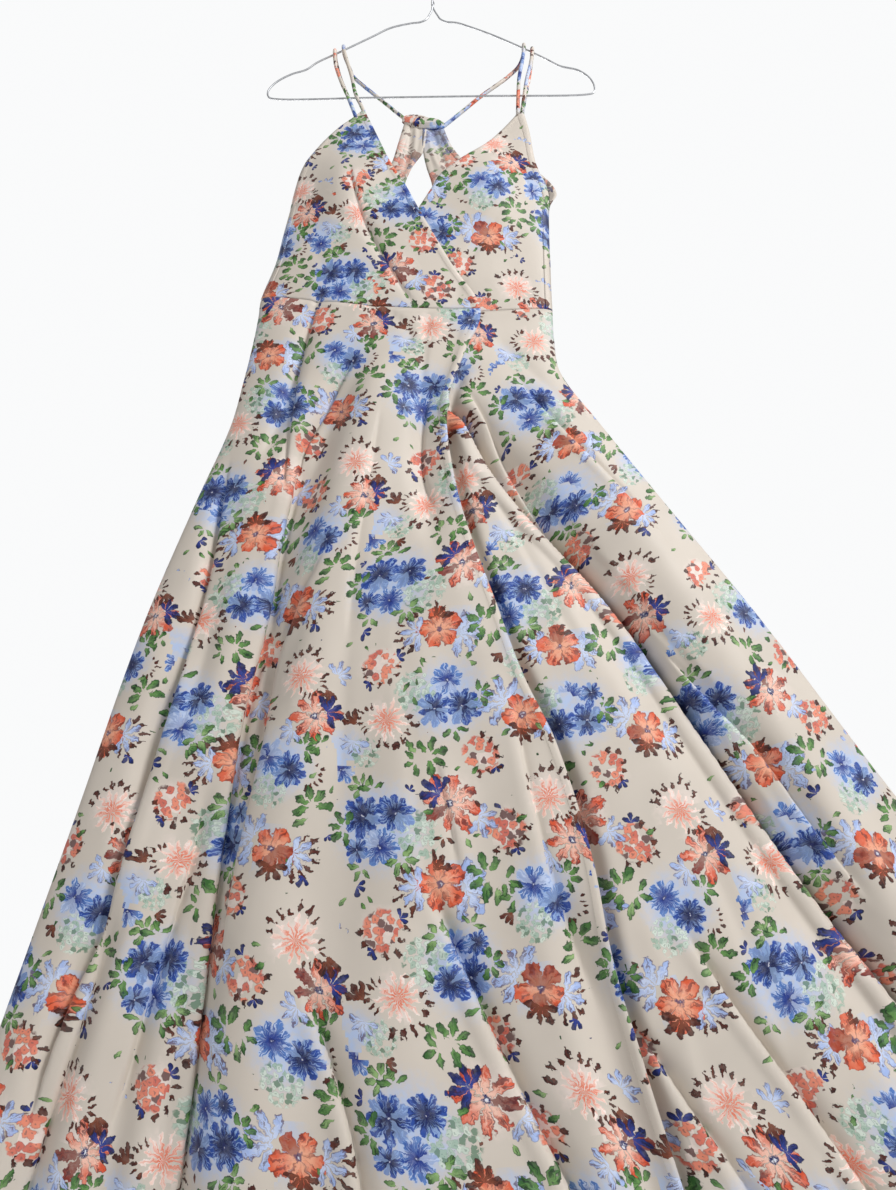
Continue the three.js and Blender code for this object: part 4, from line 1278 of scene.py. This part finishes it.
def build_panels(materials):
    """The seven cut panels of the bodice and the skirt, and the stitches of their hems."""
    foot_left = WAIST_LEFT_Z + WAIST_GAP
    foot_right = WAIST_RIGHT_Z + WAIST_GAP
    front = (flat_across(front_point), FRONT_LINES)
    back = (flat_across(back_point), BACK_LINES)

    def outer_left(z):
        return np.where(z < UNDERARM_Z, side_left(z), left_armhole(z))

    def outer_right(z):
        return np.where(z < UNDERARM_Z, side_right(z), right_armhole(z))

    over_cup = bodice_front(-270, outer_left, foot_left, -256, over_edge, -571)
    under_cup = bodice_front(-258, outer_right, foot_right, -264, under_neckline, -570)
    left_back = bodice_back(BACK_LEFT_TOP, BACK_LEFT_KEYHOLE, side_left, foot_left, CENTRE_BACK_X - SEAM)
    right_back = bodice_back(BACK_RIGHT_TOP, BACK_RIGHT_KEYHOLE, side_right, foot_right, CENTRE_BACK_X + SEAM)
    edges, wrap = ("first", "last"), ("last", "foot")
    panels = [
        Panel("bodice_left_front", front, over_cup, front_point, 100, 120, (310, 40), -6, True, edges),
        Panel("bodice_right_front", front, under_cup, under_point, 100, 120, (150, 120), 5, False, edges),
        Panel("bodice_left_back", back, left_back, back_point, 70, 110, (40, 260), 3, False, edges),
        Panel("bodice_right_back", back, right_back, back_point, 70, 110, (95, 300), -3, True, edges),
        Panel("skirt_left_front", front, skirt_left_front, over_point, 215, 210, (60, 0), 0, True, wrap),
        Panel("skirt_right_front", front, skirt_right_front, under_point, 220, 205, (165, 96), 0, False,
              wrap),
        Panel("skirt_back", back, skirt_back, back_point, 230, 190, (20, 60), 0, False, ("foot",)),
    ]
    for panel in panels:
        obj = cloth_piece(panel.name, panel.points, panel.uv, materials, turned=panel.turned)
        size, area = panel.flat()
        min(area, size[0] * size[1])
    build_stitches(panels)


def lengths_along(route):
    """The route's length at each of its points."""
    return np.concatenate([[0], np.cumsum(np.linalg.norm(np.diff(route, axis=0), axis=1))])


def between(places, lengths, rows):
    """Rows of three numbers, read at places along a route."""
    return np.stack([np.interp(places, lengths, rows[:, c]) for c in range(3)], 1)


def build_stitches(panels):
    """Short thread stitches that hold the turned hems down, all in one piece."""
    corner = np.array([
        (-1, 0, 0), (-0.5, 1, 0), (0.5, 1, 0), (1, 0, 0), (0.5, -1, 0), (-0.5, -1, 0),
        (-0.45, 0, 1), (0.45, 0, 1),
    ])
    sides = [
        (0, 6, 1), (1, 6, 7), (1, 7, 2), (2, 7, 3), (3, 7, 4), (4, 7, 6), (4, 6, 5), (5, 6, 0),
        (0, 1, 2), (0, 2, 3), (0, 3, 4), (0, 4, 5),
    ]
    points, faces = [], []
    for panel in panels:
        for line, normal in panel.seams:
            length = lengths_along(line)
            places = np.arange(STITCH_PITCH, length[-1] - STITCH_PITCH, STITCH_PITCH)
            middle = between(places, length, line)
            ahead = between(places + 0.5, length, line) - middle
            ahead /= np.linalg.norm(ahead, axis=1, keepdims=True)
            out = between(places, length, normal)
            out -= ahead * (out * ahead).sum(1, keepdims=True)
            out /= np.linalg.norm(out, axis=1, keepdims=True)
            beside = np.cross(out, ahead)
            base = middle + out * (CLOTH / 2 + TURNED)
            each = (
                base[:, None] + ahead[:, None] * corner[None, :, :1] * STITCH_LENGTH / 2
                + beside[:, None] * corner[None, :, 1:2] * THREAD / 2
                + out[:, None] * corner[None, :, 2:] * THREAD * 0.6
            )
            start = sum(len(p) for p in points)
            points.append(each.reshape(-1, 3))
            for k in range(len(places)):
                faces += [tuple(start + k * len(corner) + c for c in side) for side in sides]
    obj = smooth_mesh("hem_stitches", np.concatenate(points), faces, [thread_material()])
    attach(obj, BODY)


def sweep(points, radius, sides, per_span, rounded=False):
    """Rings of points about a smooth route, and the route's length at each ring."""
    curve = Curve(points)
    route = curve.at(np.linspace(0, 1, (len(points) - 1) * per_span + 1))
    lengths = lengths_along(route)
    ahead = np.gradient(route, axis=0)
    ahead /= np.linalg.norm(ahead, axis=1, keepdims=True)
    across = np.zeros_like(route)
    previous = np.array([0.0, 1.0, 0.0])
    for k, direction in enumerate(ahead):
        previous = previous - previous.dot(direction) * direction
        previous /= np.linalg.norm(previous)
        across[k] = previous
    other = np.cross(ahead, across)
    angle = np.linspace(0, 2 * np.pi, sides, endpoint=False)
    size = np.full(len(route), float(radius))
    if rounded:
        from_end = np.minimum(lengths, lengths[-1] - lengths)
        size *= np.clip(np.sqrt(1 - (1 - np.clip(from_end / radius, 0, 1)) ** 2), 0.16, 1)
    size = size[:, None, None]
    rings = (
        route[:, None] + across[:, None] * np.cos(angle)[None, :, None] * size
        + other[:, None] * np.sin(angle)[None, :, None] * size
    )
    return rings, lengths


def over_wire(x, wire_z):
    """Points of a strap's bend over the wire, clear of it by the strap's lift."""
    clear = (STRAP_WIDTH + WIRE) / 2 + STRAP_LIFT
    rise = clear / math.cos(math.radians(SHOULDER_SLOPE))
    bend = [math.radians(a) for a in (-105, -60, -30, 0, 30, 60, 105)]
    return [(x, math.sin(a) * clear, wire_z + math.cos(a) * rise) for a in bend]


def beyond(end, before, length):
    """The point that lies a length past the end of a route."""
    return end + (end - before) * length / np.linalg.norm(end - before)


def build_straps(materials):
    """Narrow tubes of cloth from the cups' points over the wire to the knot and the back pieces."""
    sides = 16
    for number, (name, route) in enumerate(STRAPS.items()):
        front, back = np.array(route["front"], float), np.array(route["back"], float)
        root = beyond(front[0], front[1], STRAP_ROOT) + (0, STRAP_TUCK, 0)
        end = beyond(back[-1], back[-2], STRAP_END)
        points = [root, *front, *over_wire(*route["wire"]), *back, end]
        rings, lengths = sweep(points, (STRAP_WIDTH - STRAP_WALL) / 2, sides, 10, rounded=True)
        around = np.linspace(0, math.pi * STRAP_WIDTH, sides + 1)
        uv = np.stack(np.broadcast_arrays(around[None, :] + 47 * number, lengths[:, None] + 31 * number), -1)
        obj = cloth_piece(name, rings, uv, materials, closed=True)


def build_knot(materials):
    """The wrap at the top of the keyhole: a short tube of cloth, drawn in at its ends and pleated."""
    sides, rings = 72, 60
    along = np.linspace(-1, 1, rings)[:, None]
    angle = np.linspace(0, 2 * np.pi, sides, endpoint=False)[None, :]
    waist = 1 - KNOT_SQUEEZE * np.exp(-(((along - 0.15) / 0.2) ** 2))
    swell = np.sqrt(np.maximum(0.0, 1 - (0.93 * along) ** 2)) * waist
    pleat = 1 - KNOT_PLEAT * np.abs(np.sin(KNOT_PLEATS * angle + 1.9 * along)) ** 0.7
    pleat = pleat + KNOT_ROLL * np.sin(2 * angle + 3 * along)
    x = KNOT["half_length"] * 0.97 * along + 0 * angle
    y = (KNOT["half_depth"] - STRAP_WALL) * swell * pleat * np.cos(angle)
    z = (KNOT["half_height"] - STRAP_WALL) * swell * pleat * np.sin(angle)
    tilt = math.radians(KNOT["tilt"])
    points = np.stack(
        [KNOT["x"] + x * math.cos(tilt) + z * math.sin(tilt), KNOT["y"] + y,
         KNOT["z"] - x * math.sin(tilt) + z * math.cos(tilt)], -1,
    )
    around = np.linspace(0, KNOT_CUT[0], sides + 1)[None, :] + KNOT_CUT_FROM[0]
    down_cut = KNOT_CUT[1] * (along + 1) / 2 + KNOT_CUT_FROM[1]
    uv = np.stack(np.broadcast_arrays(around, down_cut), -1)
    obj = cloth_piece("back_knot", points, uv, materials, closed=True)


def build_hanger(material):
    """The whole hanger as one round wire, its end twisted round the stem."""

    def twist(phase, from_z, to_z, count):
        z = np.linspace(from_z, to_z, count)
        angle = phase + 2 * np.pi * (z - NECK_Z) / TWIST_PITCH
        return list(np.stack([np.cos(angle) * TWIST_RADIUS, np.sin(angle) * TWIST_RADIUS, z], 1))

    bar = [(mix(BAR_LEFT_X, BAR_RIGHT_X, t), 0, BAR_Z) for t in (0, 0.33, 0.67, 1)]
    hook_angles = np.radians(np.linspace(-35, 205, 12))
    hook_z = HOOK_TOP_Z - HOOK_RADIUS
    points = [
        *twist(math.pi, TWIST_TOP_Z - 3, NECK_Z, 9),
        *[(x, 0, z) for x, z in zip(HANGER["left"], HANGER["z"])],
        *bar,
        *[(x, 0, z) for x, z in zip(HANGER["right"][::-1], HANGER["z"][::-1])],
        *twist(0, NECK_Z, TWIST_TOP_Z, 9),
        (2.5, 0, TWIST_TOP_Z + 5),
        *[(math.cos(a) * HOOK_RADIUS, 0, hook_z + math.sin(a) * HOOK_RADIUS) for a in hook_angles],
    ]
    sides = 14
    rings = sweep(points, WIRE / 2, sides, 10)[0]
    count = len(rings)
    index = np.arange(count * sides).reshape(count, sides)
    k, i = (a.ravel() for a in np.meshgrid(np.arange(count - 1), np.arange(sides), indexing="ij"))
    n = (i + 1) % sides
    faces = np.stack([index[k, i], index[k + 1, i], index[k + 1, n], index[k, n]], 1).tolist()
    faces += [index[0].tolist(), index[-1][::-1].tolist()]
    obj = smooth_mesh("hanger_wire_steel", rings.reshape(-1, 3), faces, [material])
    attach(obj, BODY)
    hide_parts("hanger_wire")


def thread_material():
    """Cream sewing thread with a fine twist."""
    material = plain_material("cream_thread", (0.56, 0.5, 0.43), 0.6)
    g = Graph(material.node_tree)
    place = g.node("ShaderNodeTexCoord").outputs["Object"]
    fibres = g.bump(g.noise(place, 4000.0, 1.0, dimensions="3D"), 0.4, 0.0001)
    g.put(fibres, material.node_tree.nodes["Principled BSDF"].inputs["Normal"])
    return material


def steel_material():
    """Drawn wire with a dull zinc skin: a fine bumpy grain and cloudy grey."""
    material = plain_material("hanger_steel", (0.5, 0.51, 0.525), 0.42, 0.6)
    g = Graph(material.node_tree)
    shader = material.node_tree.nodes["Principled BSDF"]
    place = g.node("ShaderNodeTexCoord").outputs["Object"]
    cloud = g.noise(place, 160.0, 3.0, dimensions="3D")
    grey = g.mix(g.step(cloud, 0.35, 0.65), (0.44, 0.45, 0.47, 1), (0.6, 0.61, 0.63, 1))
    g.put(grey, shader.inputs["Base Color"])
    g.put(g.step(cloud, 0.3, 0.7, 0.5, 0.34), shader.inputs["Roughness"])
    g.put(g.bump(g.noise(place, 1800.0, 2.0, dimensions="3D"), 0.3, 0.0001), shader.inputs["Normal"])
    return material


def plain_material(name, colour, roughness, metallic=0.0):
    """One colour all over."""
    material = bpy.data.materials.new(name)
    material.use_nodes = True
    shader = material.node_tree.nodes["Principled BSDF"]
    shader.inputs["Base Color"].default_value = (*colour, 1)
    shader.inputs["Roughness"].default_value = roughness
    shader.inputs["Metallic"].default_value = metallic
    return material


def build_stage():
    """A pale floor, the lights, and a world that is white to the camera and dimmer to the cloth."""
    bpy.ops.mesh.primitive_circle_add(vertices=96, radius=3.0, fill_type="NGON", location=(0.1, 0, -1.66))
    floor = bpy.context.object
    floor.name = "floor"
    floor.data.materials.append(plain_material("pale_floor", (0.86, 0.86, 0.86), 0.8))

    world = bpy.data.worlds.new("studio")
    bpy.context.scene.world = world
    world.use_nodes = True
    background = world.node_tree.nodes["Background"]
    background.inputs["Color"].default_value = (0.955, 0.96, 0.965, 1)
    seen = world.node_tree.nodes.new("ShaderNodeLightPath")
    strength = Graph(world.node_tree).mix(seen.outputs["Is Camera Ray"], (0.36, 0.36, 0.36, 1), (1, 1, 1, 1))
    world.node_tree.links.new(strength, background.inputs["Strength"])

    def light(name, place, aim, size, power):
        data = bpy.data.lights.new(name, "AREA")
        data.size = size
        data.energy = power
        obj = link(name, data)
        obj.location = place
        obj.rotation_euler = Vector(np.array(aim) - np.array(place)).to_track_quat("-Z", "Y").to_euler()

    light("key", (1.7, -1.5, 0.8), (0, 0, -0.8), 0.7, 64)
    light("fill", (-1.8, -1.8, -0.6), (0, 0, -0.9), 1.6, 4)
    light("rear", (-0.9, 2.4, 0.4), (0, 0, -0.9), 1.4, 46)


def build_camera():
    """The camera of the photo, whose height is the long side of the sensor."""
    data = bpy.data.cameras.new("camera")
    data.sensor_width = SENSOR
    data.lens = SENSOR * FOCAL_PIXELS / PHOTO_HEIGHT
    data.clip_start = 0.05
    camera = link("camera", data)
    camera.location = tuple(c * MM for c in CAMERA_PLACE)
    camera.rotation_euler = (math.radians(CAMERA_TILT), math.radians(CAMERA_ROLL), 0)
    bpy.context.scene.camera = camera


build_camera()
bpy.context.scene.view_settings.view_transform = "Standard"
forms = {"bloom": bloom_group(), "cluster": cluster_group()}
cloth = [print_material("printed_crepe", forms, 0.0), print_material("printed_crepe_wrong", forms, 0.28)]
build_panels(cloth)
build_straps(cloth)
build_knot(cloth)
build_hanger(steel_material())
build_stage()
